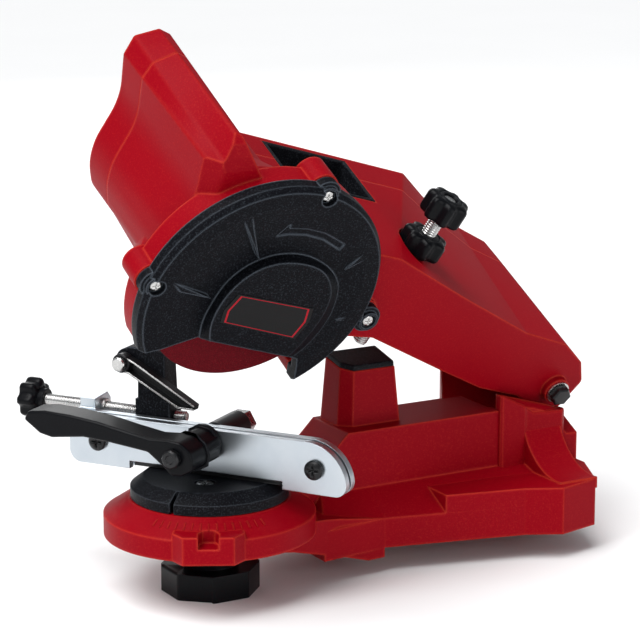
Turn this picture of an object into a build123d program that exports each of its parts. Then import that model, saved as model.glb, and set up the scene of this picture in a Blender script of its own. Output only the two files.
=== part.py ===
from build123d import *
import math
import os

# Bench-mounted electric saw-chain sharpener.
# Frame: origin on the swivel axis of the chain vise at bench height, +X to the
# rear (towards the arm pivot), +Z up, the operator on the -Y side. Millimetres.

# ------------------------------------------------------------------ driving dimensions
WALL = 3.5                  # moulded housing wall
RUNNING = 0.05              # radial clearance of a running fit

RAIL_TOP = 70.0             # top edge of the clamping jaws above the bench
SWIVEL = 35.0               # vise turned to its stop, degrees from straight across
TILT = 27.0                 # lean of the grinding plane towards the operator

WHEEL_S = 3.0               # wheel axis, measured along the arm
WHEEL_V = 90.0              # wheel axis, measured up the arm
WHEEL_RADIUS = 54.0
WHEEL_THICKNESS = 3.2
WHEEL_BORE_RADIUS = 11.5
RING_RADIUS = 62.5
RING_FRONT = 4.4
RING_BACK = -8.0
GUARD_RADIUS = 63.8
ISLAND_FRONT = 15.4

ARM_NEAR = 2.0              # outer faces of the arm cheeks, along the wheel axis
ARM_FAR = -89.0
CHEEK = 6.0
PARTING = -70.0             # parting plane of arm housing and arm cover
PIVOT_S = 206.0
PIVOT_V = -5.0
PIVOT_PIN_RADIUS = 3.0
BARREL_RADIUS = 14.0
BARREL_CLEAR = 15.6
MOTOR_TUBE = [(0, -7), (47, -7), (47, -30), (38, -55), (37, -89), (0, -89)]     # radius, depth
MOTOR_BORE = [(0, -11.5), (43.5, -11.5), (43.5, -29), (34.5, -54), (33.5, -85.5), (0, -85.5)]
MOTOR_CAN_RADIUS = 26.0
SHAFT_RADIUS = 4.0
BEARING_RADIUS = 11.0

ROD_DEPTH = -18.0
ROD_TIP_S = 87.7
ROD_TIP_V = 27.9
ROD_LEAN = 18.8
ROD_RADIUS = 4.0
ROD_LENGTH = 91.0
STOP_TOP = 90.0             # near edge of the stop pad, and its slope to the far side
STOP_NEAR = 5.0
STOP_SLOPE = 13.2
STOP_THICKNESS = 3.0

RING_WALL_BOTTOM = 17.0
RING_WALL_TOP = 27.5
BASE_RING_RADIUS = 53.0
SEAT_RADIUS = 40.5
SEAT_TOP = 35.7
TABLE_RADIUS = 39.5
TABLE_TOP_RADIUS = 33.0
TABLE_BOTTOM = 36.0
TABLE_RIM = 41.0
TABLE_TOP = 46.0
BASE_TOP = 58.0
SPINE_NEAR = -6.5           # sides of the raised spine of the base
SPINE_FAR = 30.5
SKIRT_TOP = 15.5
SLOPE_TOP = 28.0
LEDGE_TOP = 25.0
LEDGE_FRONT = 120.0
COLUMN_TOP_V = -24.0
BENCH_EDGE = 88.0           # the lip in front of this X hooks the bench edge

INSERT_X = (104.0, 188.0)
INSERT_Y = (-8.0, 32.0)
INSERT_RADIUS = 4.2
INSERT_LENGTH = 9.0
INSERT_THREAD_RADIUS = 2.5

BOLT_RADIUS = 4.0           # swivel bolt of the vise
HUB_RADIUS = 12.0
HUB_BOTTOM = 13.0
KNOB_RADIUS = 25.0
KNOB_TOP = 11.2
KNOB_BOTTOM = -13.5

JAW_THICKNESS = 4.0
JAW_NEAR_FACE = 1.0         # inner face of the moving jaw, vise open
JAW_FAR_FACE = -1.0
GUIDE_X = 60.5
GUIDE_Z = 57.0
SPINDLE_X = 0.5
SPINDLE_Z = 63.8
ADJUSTER_OUT = -14.0
ADJUSTER_Z = 69.5
PAWL_X = -50.0
PAWL_Z = 97.0

SIN_TILT = math.sin(math.radians(TILT))
COS_TILT = math.cos(math.radians(TILT))
SIN_SWIVEL = math.sin(math.radians(SWIVEL))
COS_SWIVEL = math.cos(math.radians(SWIVEL))
TOWARDS_OPERATOR = Vector(0, -COS_TILT, -SIN_TILT)
UP_THE_ARM = Vector(0, -SIN_TILT, COS_TILT)

# Plan of the rear skirt of the base, and the foot of the spine above it, corner for corner.
SKIRT = [(50, -28), (88, -23), (162, -40), (180, -49), (204, -43), (217, -14),
         (217, 52), (204, 75), (180, 80), (162, 68), (88, 47), (50, 44)]
SPINE_FOOT = [(60, -6.5), (88, -6.5), (162, -7), (180, -8), (202, -8), (212, -4),
              (212, 52), (202, 62), (180, 64), (162, 58), (88, 30.5), (60, 30.5)]
COLUMN = [(163, -6.5), (217, -6.5), (217, 70), (178, 70), (152, 26), (163, 12)]
PILLAR_FOOT = [(78, 9), (84, 3), (112, 3), (112, 25), (77, 25)]
PILLAR_HEAD = [(81, 10), (86, 5), (108.5, 5), (108.5, 23), (80, 23)]

# Side profiles of the arm at its near and its far cheek, and of the motor tower.
ARM_NEAR_PROFILE = [(20, 60), (80, 47), (129, 18), (157, 2), (184, -8), (198, -21), (214, -21),
                    (224, -4), (219, 10), (205, 24), (176, 36), (130, 65), (83, 96), (20, 117.4)]
ARM_FAR_PROFILE = [(20, 60), (80, 47), (129, 18), (157, 2), (184, -8), (198, -21), (214, -21),
                   (224, -4), (219, 10), (205, 24), (183, 37), (155, 60), (138, 77), (20, 117.4)]
TOWER_NEAR_PROFILE = [(-40, 90), (-41, 103), (-40, 116), (-33.5, 139), (-33.4, 161), (-27.2, 162),
                      (-20.5, 173.5), (-17.5, 172), (-4, 149), (14, 119.4), (20, 100), (20, 72),
                      (-26, 72)]
TOWER_FAR_PROFILE = [(-43.7, 90), (-47.5, 103), (-47, 116), (-38, 140), (-41, 165), (-37.5, 175),
                     (-25, 178), (-18.5, 174.5), (-4, 149), (14, 119.4), (20, 100), (20, 70),
                     (-28, 70)]
TOWER_CORNERS = [16, 36, 36, 40, 2, 2, 1.5, 1.5, 1.5, 4, 4, 2, 4]
TOWER_NEAR_INSIDE = [(-36, 92), (-37, 103), (-36, 115), (-29.5, 139), (-29, 156), (-25, 158),
                     (-20, 165), (-8, 147), (9, 118), (15, 92), (15, 78), (-24, 78)]
TOWER_FAR_INSIDE = [(-39, 92), (-43, 104), (-42, 116), (-33.5, 140), (-36, 163), (-33, 171),
                    (-23, 172), (-8, 147), (9, 118), (15, 92), (15, 76), (-26, 76)]
TOWER_SIDE = [(-95, 60), (-1, 60), (-1, 157), (-2.2, 164), (-4.5, 169.5), (-8, 173), (-14, 176),
              (-95, 190)]
TOWER_PLAN = [(-49.5, 95), (30, 95), (30, 1), (-27, 1), (-33.3, 8), (-44.5, 20)]
PLAN_CORNERS = [1, 1, 1, 4, 20, 28]
WHEEL_OPENING = [(-70, 63), (-55, 65.5), (-26, 69.4), (31.5, 48.8), (33.3, 32.4), (38, 26),
                 (38, 0), (-70, 0)]
GUARD_PROFILE = [(0, 4.4), (63.8, 4.4), (63.8, 9.6), (61.6, 12.7), (54, 12.7), (30, 9.5), (0, 9.5)]
ISLAND_FOOT = [(-25.6, 68.5), (-25.2, 78), (-22.2, 90), (-16.5, 102), (-5.5, 111), (8, 114.2),
               (23, 111.4), (34, 105.4), (42.8, 97.6), (47.2, 89.4), (48.2, 81.6), (47.8, 71.8),
               (43.8, 60), (38, 52), (32, 47.8)]
ISLAND_TOP = [(-22, 70.5), (-23.6, 81.5), (-21.2, 92.6), (-14.8, 103.4), (-5, 110.8), (7.8, 113),
              (20.6, 110.4), (30.4, 105), (35.8, 98), (38.2, 91.4), (38.2, 82.8), (36, 74.4),
              (31.4, 65.2), (27, 58.2), (23.5, 54)]
GUARD_FINS = [[(-18.6, 139.4), (-14.6, 141), (-4.5, 114)], [(-48.2, 107), (-42.6, 100.4), (-25.5, 94.4)],
              [(58, 117), (58, 109.4), (44.5, 102)], [(62.6, 73), (62.6, 68.2), (47, 71.4)]]
LABEL = [(-13.2, 97.8), (30.4, 83.2), (30.2, 74.6), (24.8, 65), (-19.4, 81.5), (-19, 89)]
ARROW = [(2.8, 125.6), (8.1, 132.8), (8.7, 129.8), (18.1, 128.6), (28.6, 125), (40.8, 117.4),
         (39.1, 114), (28.7, 121), (19.1, 124.6), (9.3, 126)]
GUARD_SCREWS = [(-55, 104), (25, 146), (68, 66)]
COVER_SCREWS = [(44, 66), (120, 38), (118, 62), (150, 30), (172, 18), (-20, 150)]
BOARD_SCREWS = [(81, 58), (103, 68)]
JAW_OUTLINE = [(-77.5, 44.5), (-42.6, 44.5), (-42.6, 48.5), (42.6, 48.5), (42.6, 44.5),
               (77.5, 44.5), (77.5, 70.5), (-77.5, 70.5)]
LEVER_OUTLINE = [(-84, 73.5), (-81.5, 78), (-72, 79.2), (-58, 78.6), (-42, 77), (-25, 74),
                 (-12, 72), (-3, 72.6), (4, 71.8), (9.4, 68), (11, 63), (10.4, 58), (5, 55),
                 (-1, 54.6), (-6.5, 59.5), (-14, 65), (-35, 67.2), (-50, 68.2), (-68, 65.8),
                 (-75, 67.2)]
LEVER_HUB = [(-7, 61), (-6, 69.5), (-1, 72.2), (4, 71.4), (9, 67.6), (10.6, 63), (10, 58), (5, 55.2),
             (-1, 55)]
POST_OUTLINE = [(-43.5, 76), (-28.5, 76), (-28.5, 103), (-34, 104.5), (-50, 104.5), (-50, 97),
                (-44.5, 89.5)]


# ------------------------------------------------------------------ reference planes
def arm_plane(depth, s=0.0, v=0.0):
    """Plane of the grinding wheel moved `depth` towards the operator: x rear, y up the arm."""
    origin = Vector(s, 0, RAIL_TOP) + UP_THE_ARM * v + TOWARDS_OPERATOR * depth
    return Plane(origin=origin, x_dir=(1, 0, 0), z_dir=TOWARDS_OPERATOR)


def far_plane(depth, s=0.0, v=0.0):
    """The same plane facing away from the operator."""
    origin = Vector(s, 0, RAIL_TOP) + UP_THE_ARM * v + TOWARDS_OPERATOR * depth
    return Plane(origin=origin, x_dir=(1, 0, 0), z_dir=TOWARDS_OPERATOR * -1)


def side_plane(s):
    """Plane square to the arm at s: x towards the operator, y up the arm."""
    return Plane(origin=(s, 0, RAIL_TOP), x_dir=TOWARDS_OPERATOR, z_dir=(-1, 0, 0))


def deck_plane(v):
    """Plane square to the wheel disc, v up the arm: x rear, y away from the operator."""
    return Plane(origin=Vector(0, 0, RAIL_TOP) + UP_THE_ARM * v, x_dir=(1, 0, 0), z_dir=UP_THE_ARM)


def rod_plane(along, s=ROD_TIP_S, v=ROD_TIP_V, depth=ROD_DEPTH):
    """Plane square to the depth screw, `along` above its tip: x towards the operator."""
    lean = math.radians(ROD_LEAN)
    facing = Vector(1, 0, 0) * math.sin(lean) + UP_THE_ARM * math.cos(lean)
    origin = Vector(s, 0, RAIL_TOP) + UP_THE_ARM * v + TOWARDS_OPERATOR * depth + facing * along
    return Plane(origin=origin, x_dir=TOWARDS_OPERATOR, z_dir=facing)


def jaw_plane(out, x=0.0, z=0.0):
    """Upright plane parallel to the jaws, `out` from the slot: x to the near end, y up."""
    outward = Vector(-COS_SWIVEL, -SIN_SWIVEL, 0)
    along = Vector(SIN_SWIVEL, -COS_SWIVEL, 0)
    return Plane(origin=outward * out + along * x + Vector(0, 0, z), x_dir=along, z_dir=outward)


def rail_plane(x, out=0.0, z=0.0):
    """Plane across the jaws, facing along them to their near end: y up."""
    outward = Vector(-COS_SWIVEL, -SIN_SWIVEL, 0)
    along = Vector(SIN_SWIVEL, -COS_SWIVEL, 0)
    origin = outward * out + along * x + Vector(0, 0, z)
    return Plane(origin=origin, x_dir=outward * -1, z_dir=along)


def stop_plane(above):
    """Sloping plane of the stop pad on its pillar, `above` its face."""
    slope = math.radians(STOP_SLOPE)
    facing = Vector(0, -math.sin(slope), math.cos(slope))
    return Plane(origin=Vector(95, STOP_NEAR, STOP_TOP) + facing * above, x_dir=(1, 0, 0),
                 z_dir=facing)


def level(z, x=0.0, y=0.0, turn=0.0):
    """Level plane at height z, turned about the vertical."""
    angle = math.radians(turn)
    return Plane(origin=(x, y, z), x_dir=(math.cos(angle), math.sin(angle), 0), z_dir=(0, 0, 1))


# ------------------------------------------------------------------ shape helpers
def outline(plane, points, rounding=0.0, shrink=0.0):
    """Sketch of a closed polygon, its corners rounded and its edge moved in where asked."""
    with BuildSketch(plane) as profile:
        with BuildLine():
            Polyline(*points, close=True)
        make_face()
        if rounding:
            fillet(profile.vertices(), rounding)
        if shrink:
            offset(amount=-shrink, kind=Kind.INTERSECTION, mode=Mode.REPLACE)
    return profile.sketch


def eased(plane, points, radii):
    """Sketch of a closed polygon with its own radius at each corner."""
    with BuildSketch(plane) as profile:
        with BuildLine():
            Polyline(*points, close=True)
        make_face()
        for corner, radius in zip(points, radii):
            fillet(profile.vertices().sort_by_distance((*corner, 0))[0], radius)
    return profile.sketch


def slab(plane, points, thickness, rounding=0.0, mode=Mode.ADD):
    """Polygonal plate on a plane."""
    return extrude(outline(plane, points, rounding), amount=thickness, mode=mode)


def block(plane, width, height, length, rounding=0.0, mode=Mode.ADD):
    """Rectangular block centred on a plane."""
    with BuildSketch(plane) as profile:
        Rectangle(width, height)
        if rounding:
            fillet(profile.vertices(), rounding)
    return extrude(profile.sketch, amount=length, mode=mode)


def bar(plane, radius, length, mode=Mode.ADD):
    """Round bar on a plane."""
    with BuildSketch(plane) as profile:
        Circle(radius)
    return extrude(profile.sketch, amount=length, mode=mode)


def tube(plane, outer, inner, length, mode=Mode.ADD):
    """Round tube on a plane."""
    with BuildSketch(plane) as profile:
        Circle(outer)
        Circle(inner, mode=Mode.SUBTRACT)
    return extrude(profile.sketch, amount=length, mode=mode)


def turned(points, mode=Mode.ADD):
    """Form turned round the wheel axis from points of radius and depth."""
    axis_plane = Plane(origin=arm_plane(0, WHEEL_S, WHEEL_V).origin, x_dir=UP_THE_ARM,
                       z_dir=(1, 0, 0))
    return revolve(outline(axis_plane, points), axis=Axis(axis_plane.origin, TOWARDS_OPERATOR),
                   mode=mode)


def island(plane, points):
    """Teardrop outline: a smooth curve closed by a straight lower edge."""
    with BuildSketch(plane) as profile:
        with BuildLine():
            Spline(*points)
            Line(points[-1], points[0])
        make_face()
    return profile.sketch


def hexagon(plane, across_flats, length, hole=0.0, mode=Mode.ADD):
    """Hexagonal head or nut."""
    with BuildSketch(plane) as profile:
        RegularPolygon(across_flats / 2, 6, major_radius=False)
        if hole:
            Circle(hole, mode=Mode.SUBTRACT)
    return extrude(profile.sketch, amount=length, mode=mode)


def star_knob(plane, radius, thickness, lobes, hole):
    """Hand knob with scooped grips between its lobes."""
    with BuildSketch(plane) as profile:
        Circle(radius)
        with PolarLocations(radius * 1.12, lobes, start_angle=180 / lobes):
            Circle(radius * 0.3, mode=Mode.SUBTRACT)
        Circle(hole, mode=Mode.SUBTRACT)
    return extrude(profile.sketch, amount=thickness)


def pan_screw(plane, head_radius, head_height, shank_radius, length):
    """Pan-head screw with a cross recess: the plane is the seat of its head."""
    bar(plane, head_radius, head_height)
    bar(plane, shank_radius, -length)
    top = plane.offset(head_height)
    block(top, head_radius, head_radius * 0.26, -head_height * 0.6, mode=Mode.SUBTRACT)
    block(top, head_radius * 0.26, head_radius, -head_height * 0.6, mode=Mode.SUBTRACT)


def ease_jaw(jaw):
    """Round the upper and the lower corner at the near end of a jaw plate."""
    for level_group, radius in ((-1, 22), (0, 6)):
        across = jaw.edges().filter_by(lambda edge: abs(edge.length - JAW_THICKNESS) < 0.01)
        fillet(across.group_by(Axis.Z)[level_group].sort_by(Axis.Y)[0], radius)


def finish(builder, name):
    """Label a finished piece and write its STEP file."""
    builder.part.label = name
    export_step(builder.part, f"parts/{name}.step")


os.makedirs("parts", exist_ok=True)

# ------------------------------------------------------------------ base
with BuildPart() as base_shell:
    # Round seat of the vise: upright wall and scale cone.
    with BuildSketch(Plane.XZ):
        with BuildLine():
            Polyline((0, RING_WALL_BOTTOM), (BASE_RING_RADIUS, RING_WALL_BOTTOM),
                     (BASE_RING_RADIUS, RING_WALL_TOP), (SEAT_RADIUS, SEAT_TOP),
                     (0, SEAT_TOP), close=True)
        make_face()
    revolve(axis=Axis.Z)
    # Bridge from the seat to the rear body, its underside running down to the bench lip.
    plan = slab(level(-6), [(0, -44), (29, -34), (60, -25.5), (BENCH_EDGE, -23), (BENCH_EDGE, 47),
                            (60, 45), (29, 43), (0, 44)], 40, mode=Mode.PRIVATE)
    side = slab(Plane.XZ.offset(60), [(0, 17), (29, 10), (78, -5), (BENCH_EDGE, -5),
                                      (BENCH_EDGE, SKIRT_TOP), (50, 22), (0, RING_WALL_TOP)],
                -140, mode=Mode.PRIVATE)
    add(plan & side)
    # Skirt, sloped shoulder and ledge block of the rear body.
    slab(level(0), SKIRT, SKIRT_TOP)
    loft([outline(level(SKIRT_TOP), SKIRT), outline(level(SLOPE_TOP), SPINE_FOOT)], ruled=True)
    slab(level(0), [(LEDGE_FRONT, -30.3)] + SKIRT[2:10] + [(LEDGE_FRONT, 56)], LEDGE_TOP)
    # Raised spine with its front slope down to the seat.
    slab(Plane.XZ.offset(-SPINE_FAR), [(40, 22), (48, 33), (62, 44), (76, BASE_TOP),
                                       (166, BASE_TOP), (166, 20)], SPINE_FAR - SPINE_NEAR)
    # Column that carries the arm pivot: its top slopes with the pivot axis.
    column = slab(level(20), COLUMN, 80, mode=Mode.PRIVATE)
    under_arm = slab(arm_plane(60), [(100, -150), (260, -150), (260, COLUMN_TOP_V),
                                     (100, COLUMN_TOP_V)], -220, mode=Mode.PRIVATE)
    add(column & under_arm)
    # Web and barrel between the arm cheeks.
    slab(arm_plane(-12), [(190, -40), (213, -40), (213, -12), (PIVOT_S + 12, PIVOT_V),
                          (PIVOT_S - 12, PIVOT_V), (191, -22)], -70)
    bar(arm_plane(-12, PIVOT_S, PIVOT_V), BARREL_RADIUS, -70)
    # Near wall of the neck, flaring down in a scoop to the rear ledge.
    slab(Plane.XZ.offset(-3), [(150, 22), (150, BASE_TOP), (166, BASE_TOP), (192, 52), (206, 45),
                               (214, 36), (214, 22)], 3 - SPINE_NEAR)
    with BuildSketch(Plane.YZ.offset(182)):
        with BuildLine():
            Line((2, 20), (2, 46))
            Line((2, 46), (-8, 46))
            ThreePointArc((-8, 46), (-18, 33), (-43, LEDGE_TOP + 1))
            Line((-43, LEDGE_TOP + 1), (-43, 20))
            Line((-43, 20), (2, 20))
        make_face()
    extrude(amount=23)
    # Stop pillar for the depth screw, its head sloping up to the far side.
    loft([outline(level(BASE_TOP - 2), PILLAR_FOOT), outline(level(99), PILLAR_HEAD)], ruled=True)
    block(stop_plane(-STOP_THICKNESS), 60, 60, 30, mode=Mode.SUBTRACT)
    # Pointer lug on the front of the seat, with its sighting notch.
    lug = level(RING_WALL_BOTTOM, turn=-27.6)
    slab(lug, [(-17.5, -50), (-12.5, -57.5), (12.5, -57.5), (17.5, -50), (16, -40), (-16, -40)], 14)
    slab(lug.offset(8), [(-5, -60), (5, -60), (5, -50), (3, -47), (-3, -47), (-5, -50)], 20,
         mode=Mode.SUBTRACT)
    # Swivel hub under the seat, and the seat's hollow underside around it.
    bar(level(HUB_BOTTOM), HUB_RADIUS, 20)
    tube(level(RING_WALL_BOTTOM - 1), BASE_RING_RADIUS - WALL - 6, HUB_RADIUS, 11, mode=Mode.SUBTRACT)
    bar(level(0), 5.5, 60, mode=Mode.SUBTRACT)
    # Hollow rear body, leaving bosses for the bench inserts.
    slab(level(-10), [(95, -17), (162, -33), (178, -42), (200, -37), (211, -12),
                      (211, 50), (200, 68), (180, 73), (162, 62), (95, 41)], 21.5, mode=Mode.SUBTRACT)
    slab(level(11), [(118, -2.5), (158, -2.5), (158, 26.5), (118, 26.5)], 43, mode=Mode.SUBTRACT)
    slab(level(11), [(170, -2), (212, -2), (212, 26), (170, 26)], 16, mode=Mode.SUBTRACT)
    with BuildSketch(level(0)) as bosses:
        with Locations(*[(x, y) for x in INSERT_X for y in INSERT_Y]):
            Circle(8)
    extrude(bosses.sketch, amount=13)
    with BuildSketch(level(-1)) as insert_holes:
        with Locations(*[(x, y) for x in INSERT_X for y in INSERT_Y]):
            Circle(INSERT_RADIUS)
    extrude(insert_holes.sketch, amount=INSERT_LENGTH + 1, mode=Mode.SUBTRACT)
    # Bore of the pivot barrel.
    bar(arm_plane(0, PIVOT_S, PIVOT_V), 5.0, -95, mode=Mode.SUBTRACT)
    finish(base_shell, "base_shell")

with BuildPart() as stop_pad:
    loft([outline(level(BASE_TOP - 2), PILLAR_FOOT), outline(level(99), PILLAR_HEAD)], ruled=True)
    block(stop_plane(0), 60, 60, 30, mode=Mode.SUBTRACT)
    block(stop_plane(-STOP_THICKNESS), 60, 90, -60, mode=Mode.SUBTRACT)
    finish(stop_pad, "stop_pad")

with BuildPart() as mount_inserts:
    with BuildSketch(level(0)):
        with Locations(*[(x, y) for x in INSERT_X for y in INSERT_Y]):
            Circle(INSERT_RADIUS - 0.02)
            Circle(INSERT_THREAD_RADIUS, mode=Mode.SUBTRACT)
    extrude(amount=INSERT_LENGTH)
    finish(mount_inserts, "mount_inserts")

with BuildPart() as spindle_bush:
    tube(level(HUB_BOTTOM), 5.48, BOLT_RADIUS + RUNNING, SEAT_TOP - HUB_BOTTOM)
    finish(spindle_bush, "spindle_bush")

with BuildPart() as pivot_bolt:
    hexagon(arm_plane(7.2, PIVOT_S, PIVOT_V), 10, 4.6)
    bar(arm_plane(7.2, PIVOT_S, PIVOT_V), PIVOT_PIN_RADIUS, -103)
    finish(pivot_bolt, "pivot_bolt")

with BuildPart() as pivot_washers:
    tube(arm_plane(6.1, PIVOT_S, PIVOT_V), 6.5, PIVOT_PIN_RADIUS + RUNNING, 1.1)
    tube(arm_plane(ARM_FAR - 0.1, PIVOT_S, PIVOT_V), 6.5, PIVOT_PIN_RADIUS + RUNNING, -1.1)
    finish(pivot_washers, "pivot_washers")

with BuildPart() as pivot_nut:
    hexagon(arm_plane(ARM_FAR - 1.2, PIVOT_S, PIVOT_V), 10, -5, PIVOT_PIN_RADIUS)
    finish(pivot_nut, "pivot_nut")

with BuildPart() as pivot_bushes:
    tube(arm_plane(-12, PIVOT_S, PIVOT_V), 4.98, PIVOT_PIN_RADIUS + RUNNING, -16)
    tube(arm_plane(-82, PIVOT_S, PIVOT_V), 4.98, PIVOT_PIN_RADIUS + RUNNING, 16)
    finish(pivot_bushes, "pivot_bushes")

with BuildPart() as return_spring:
    # Torsion spring between the barrel and the near cheek: three turns and two legs.
    spring_seat = arm_plane(-11, PIVOT_S, PIVOT_V)
    with BuildLine() as coil:
        Helix(pitch=1.9, height=5.7, radius=9, center=spring_seat.origin, direction=spring_seat.z_dir)
    with BuildSketch(Plane(origin=coil.line @ 0, z_dir=coil.line % 0)) as wire:
        Circle(0.75)
    sweep(wire.sketch, path=coil.line)
    bar(Plane(origin=coil.line @ 0, z_dir=(coil.line % 0) * -1), 0.75, 8)
    bar(Plane(origin=coil.line @ 1, z_dir=coil.line % 1), 0.75, 8)
    finish(return_spring, "return_spring")

# ------------------------------------------------------------------ vise turntable
with BuildPart() as turntable_disc:
    bar(level(TABLE_BOTTOM), TABLE_RADIUS, TABLE_RIM - TABLE_BOTTOM)
    with BuildSketch(level(TABLE_RIM)) as rim:
        Circle(TABLE_RADIUS)
    with BuildSketch(level(TABLE_TOP)) as crown:
        Circle(TABLE_TOP_RADIUS)
    loft([rim.sketch, crown.sketch], ruled=True)
    # Pointer notch at the front and the recesses of the clamping screw and swivel bolt.
    slab(level(TABLE_BOTTOM, turn=SWIVEL - 90), [(-0.9, -42), (0.9, -42), (0.9, -33), (-0.9, -33)], 12,
         mode=Mode.SUBTRACT)
    bar(level(TABLE_TOP, -8.5, -11.9), 5.2, -2, mode=Mode.SUBTRACT)
    bar(level(TABLE_TOP, -8.5, -11.9), 2.1, -9, mode=Mode.SUBTRACT)
    bar(level(30), BOLT_RADIUS + 0.02, 14, mode=Mode.SUBTRACT)
    finish(turntable_disc, "turntable_disc")

with BuildPart() as turntable_screw:
    pan_screw(level(TABLE_TOP - 2, -8.5, -11.9), 4.6, 2.2, 2.08, 7)
    finish(turntable_screw, "turntable_screw")

with BuildPart() as turntable_bolt:
    bar(level(-2), BOLT_RADIUS, 45.9)
    finish(turntable_bolt, "turntable_bolt")

with BuildPart() as lock_washer:
    tube(level(11.4), 11, BOLT_RADIUS + RUNNING, 1.5)
    finish(lock_washer, "lock_washer")

with BuildPart() as lock_knob:
    # Octagonal grip with a collar above and a dished underside.
    with BuildSketch(level(KNOB_BOTTOM)) as grip:
        RegularPolygon(KNOB_RADIUS, 8, rotation=22.5)
        fillet(grip.vertices(), 3)
    extrude(amount=-KNOB_BOTTOM)
    bar(level(0), 14, KNOB_TOP)
    bar(level(-9), BOLT_RADIUS + RUNNING, 30, mode=Mode.SUBTRACT)
    bar(level(KNOB_BOTTOM - 1), 15, 2.5, mode=Mode.SUBTRACT)
    finish(lock_knob, "lock_knob")

with BuildPart() as jaw_carrier:
    # Angle bracket on the disc: foot and upright flange behind the fixed jaw.
    slab(rail_plane(-24), [(5, TABLE_TOP), (30, TABLE_TOP), (30, 50), (12, 52), (10, 60),
                           (5, 60)], 48)
    slab(rail_plane(-41), [(-3, TABLE_TOP), (20, TABLE_TOP), (20, 48.3), (-3, 48.3)], 82)
    bar(jaw_plane(-30, SPINDLE_X, SPINDLE_Z), 7.5, 25)
    bar(jaw_plane(-32, SPINDLE_X, SPINDLE_Z), BOLT_RADIUS + RUNNING, 40, mode=Mode.SUBTRACT)
    finish(jaw_carrier, "jaw_carrier")

with BuildPart() as jaw_fixed:
    slab(jaw_plane(JAW_FAR_FACE), JAW_OUTLINE, -JAW_THICKNESS)
    ease_jaw(jaw_fixed)
    # Ear on the far side that carries the feed screw of the chain stop.
    slab(rail_plane(-77), [(5, 55), (21, 63), (21, 73), (18, 76.5), (5, 75.5)], 9)
    bar(rail_plane(-80, ADJUSTER_OUT, ADJUSTER_Z), 3 + RUNNING, 20, mode=Mode.SUBTRACT)
    for x in (-GUIDE_X, GUIDE_X):
        bar(jaw_plane(10, x, GUIDE_Z), 2.0, -18, mode=Mode.SUBTRACT)
    bar(jaw_plane(10, SPINDLE_X, SPINDLE_Z), BOLT_RADIUS + RUNNING, -30, mode=Mode.SUBTRACT)
    finish(jaw_fixed, "jaw_fixed")

with BuildPart() as jaw_moving:
    slab(jaw_plane(JAW_NEAR_FACE), JAW_OUTLINE, JAW_THICKNESS)
    ease_jaw(jaw_moving)
    for x in (-GUIDE_X, GUIDE_X):
        bar(jaw_plane(10, x, GUIDE_Z), 2.0 + RUNNING, -12, mode=Mode.SUBTRACT)
        bar(jaw_plane(JAW_NEAR_FACE, x, GUIDE_Z), 3.7, 1.2, mode=Mode.SUBTRACT)
    bar(jaw_plane(10, SPINDLE_X, SPINDLE_Z), BOLT_RADIUS + RUNNING, -12, mode=Mode.SUBTRACT)
    finish(jaw_moving, "jaw_moving")

with BuildPart() as guide_screws:
    for x in (-GUIDE_X, GUIDE_X):
        pan_screw(jaw_plane(5.1, x, GUIDE_Z), 4.9, 3.0, 1.98, 15)
    finish(guide_screws, "guide_screws")

with BuildPart() as guide_nuts:
    for x in (-GUIDE_X, GUIDE_X):
        hexagon(jaw_plane(-5.05, x, GUIDE_Z), 7, -3.2, 1.98)
    finish(guide_nuts, "guide_nuts")

with BuildPart() as jaw_springs:
    for x in (-GUIDE_X, GUIDE_X):
        tube(jaw_plane(JAW_FAR_FACE, x, GUIDE_Z), 3.4, 2.6, 1.98)
    finish(jaw_springs, "jaw_springs")

with BuildPart() as clamp_spindle:
    bar(jaw_plane(-37, SPINDLE_X, SPINDLE_Z), BOLT_RADIUS, 75)
    finish(clamp_spindle, "clamp_spindle")

with BuildPart() as clamp_nut:
    hexagon(jaw_plane(-30.1, SPINDLE_X, SPINDLE_Z), 13, -6.5, BOLT_RADIUS)
    finish(clamp_nut, "clamp_nut")

with BuildPart() as clamp_lever:
    # Flange against the jaw, faceted hub and the arm with its finger pad.
    bar(jaw_plane(5.9, SPINDLE_X, SPINDLE_Z), 9.5, 2)
    slab(jaw_plane(7.5), LEVER_HUB, 20)
    slab(jaw_plane(22), LEVER_OUTLINE, 16)
    bar(jaw_plane(0, SPINDLE_X, SPINDLE_Z), BOLT_RADIUS + RUNNING, 45, mode=Mode.SUBTRACT)
    finish(clamp_lever, "clamp_lever")

with BuildPart() as lever_cap:
    bar(jaw_plane(38.05, SPINDLE_X, SPINDLE_Z), 4.8, 3.9)
    finish(lever_cap, "lever_cap")

with BuildPart() as adjuster_screw:
    bar(rail_plane(-112, ADJUSTER_OUT, ADJUSTER_Z), 3.0, 92)
    bar(rail_plane(-67.9, ADJUSTER_OUT, ADJUSTER_Z), 4.4, 1.8)
    finish(adjuster_screw, "adjuster_screw")

with BuildPart() as adjuster_knob:
    star_knob(rail_plane(-115, ADJUSTER_OUT, ADJUSTER_Z), 10.5, 10, 7, 3.0)
    tube(rail_plane(-105, ADJUSTER_OUT, ADJUSTER_Z), 5.5, 3.0, 3)
    finish(adjuster_knob, "adjuster_knob")

with BuildPart() as stop_slider:
    # Nut block on the feed screw with the upright post of the chain stop.
    slab(jaw_plane(-7), [(-46, 61), (-26, 61), (-26, 78), (-46, 78)], -12)
    slab(jaw_plane(-7), POST_OUTLINE, -12)
    bar(jaw_plane(-7, PAWL_X, PAWL_Z), 6.5, -12)
    bar(rail_plane(-60, ADJUSTER_OUT, ADJUSTER_Z), 3 + RUNNING, 50, mode=Mode.SUBTRACT)
    bar(jaw_plane(10, PAWL_X, PAWL_Z), 2.5, -40, mode=Mode.SUBTRACT)
    finish(stop_slider, "stop_slider")

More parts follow.
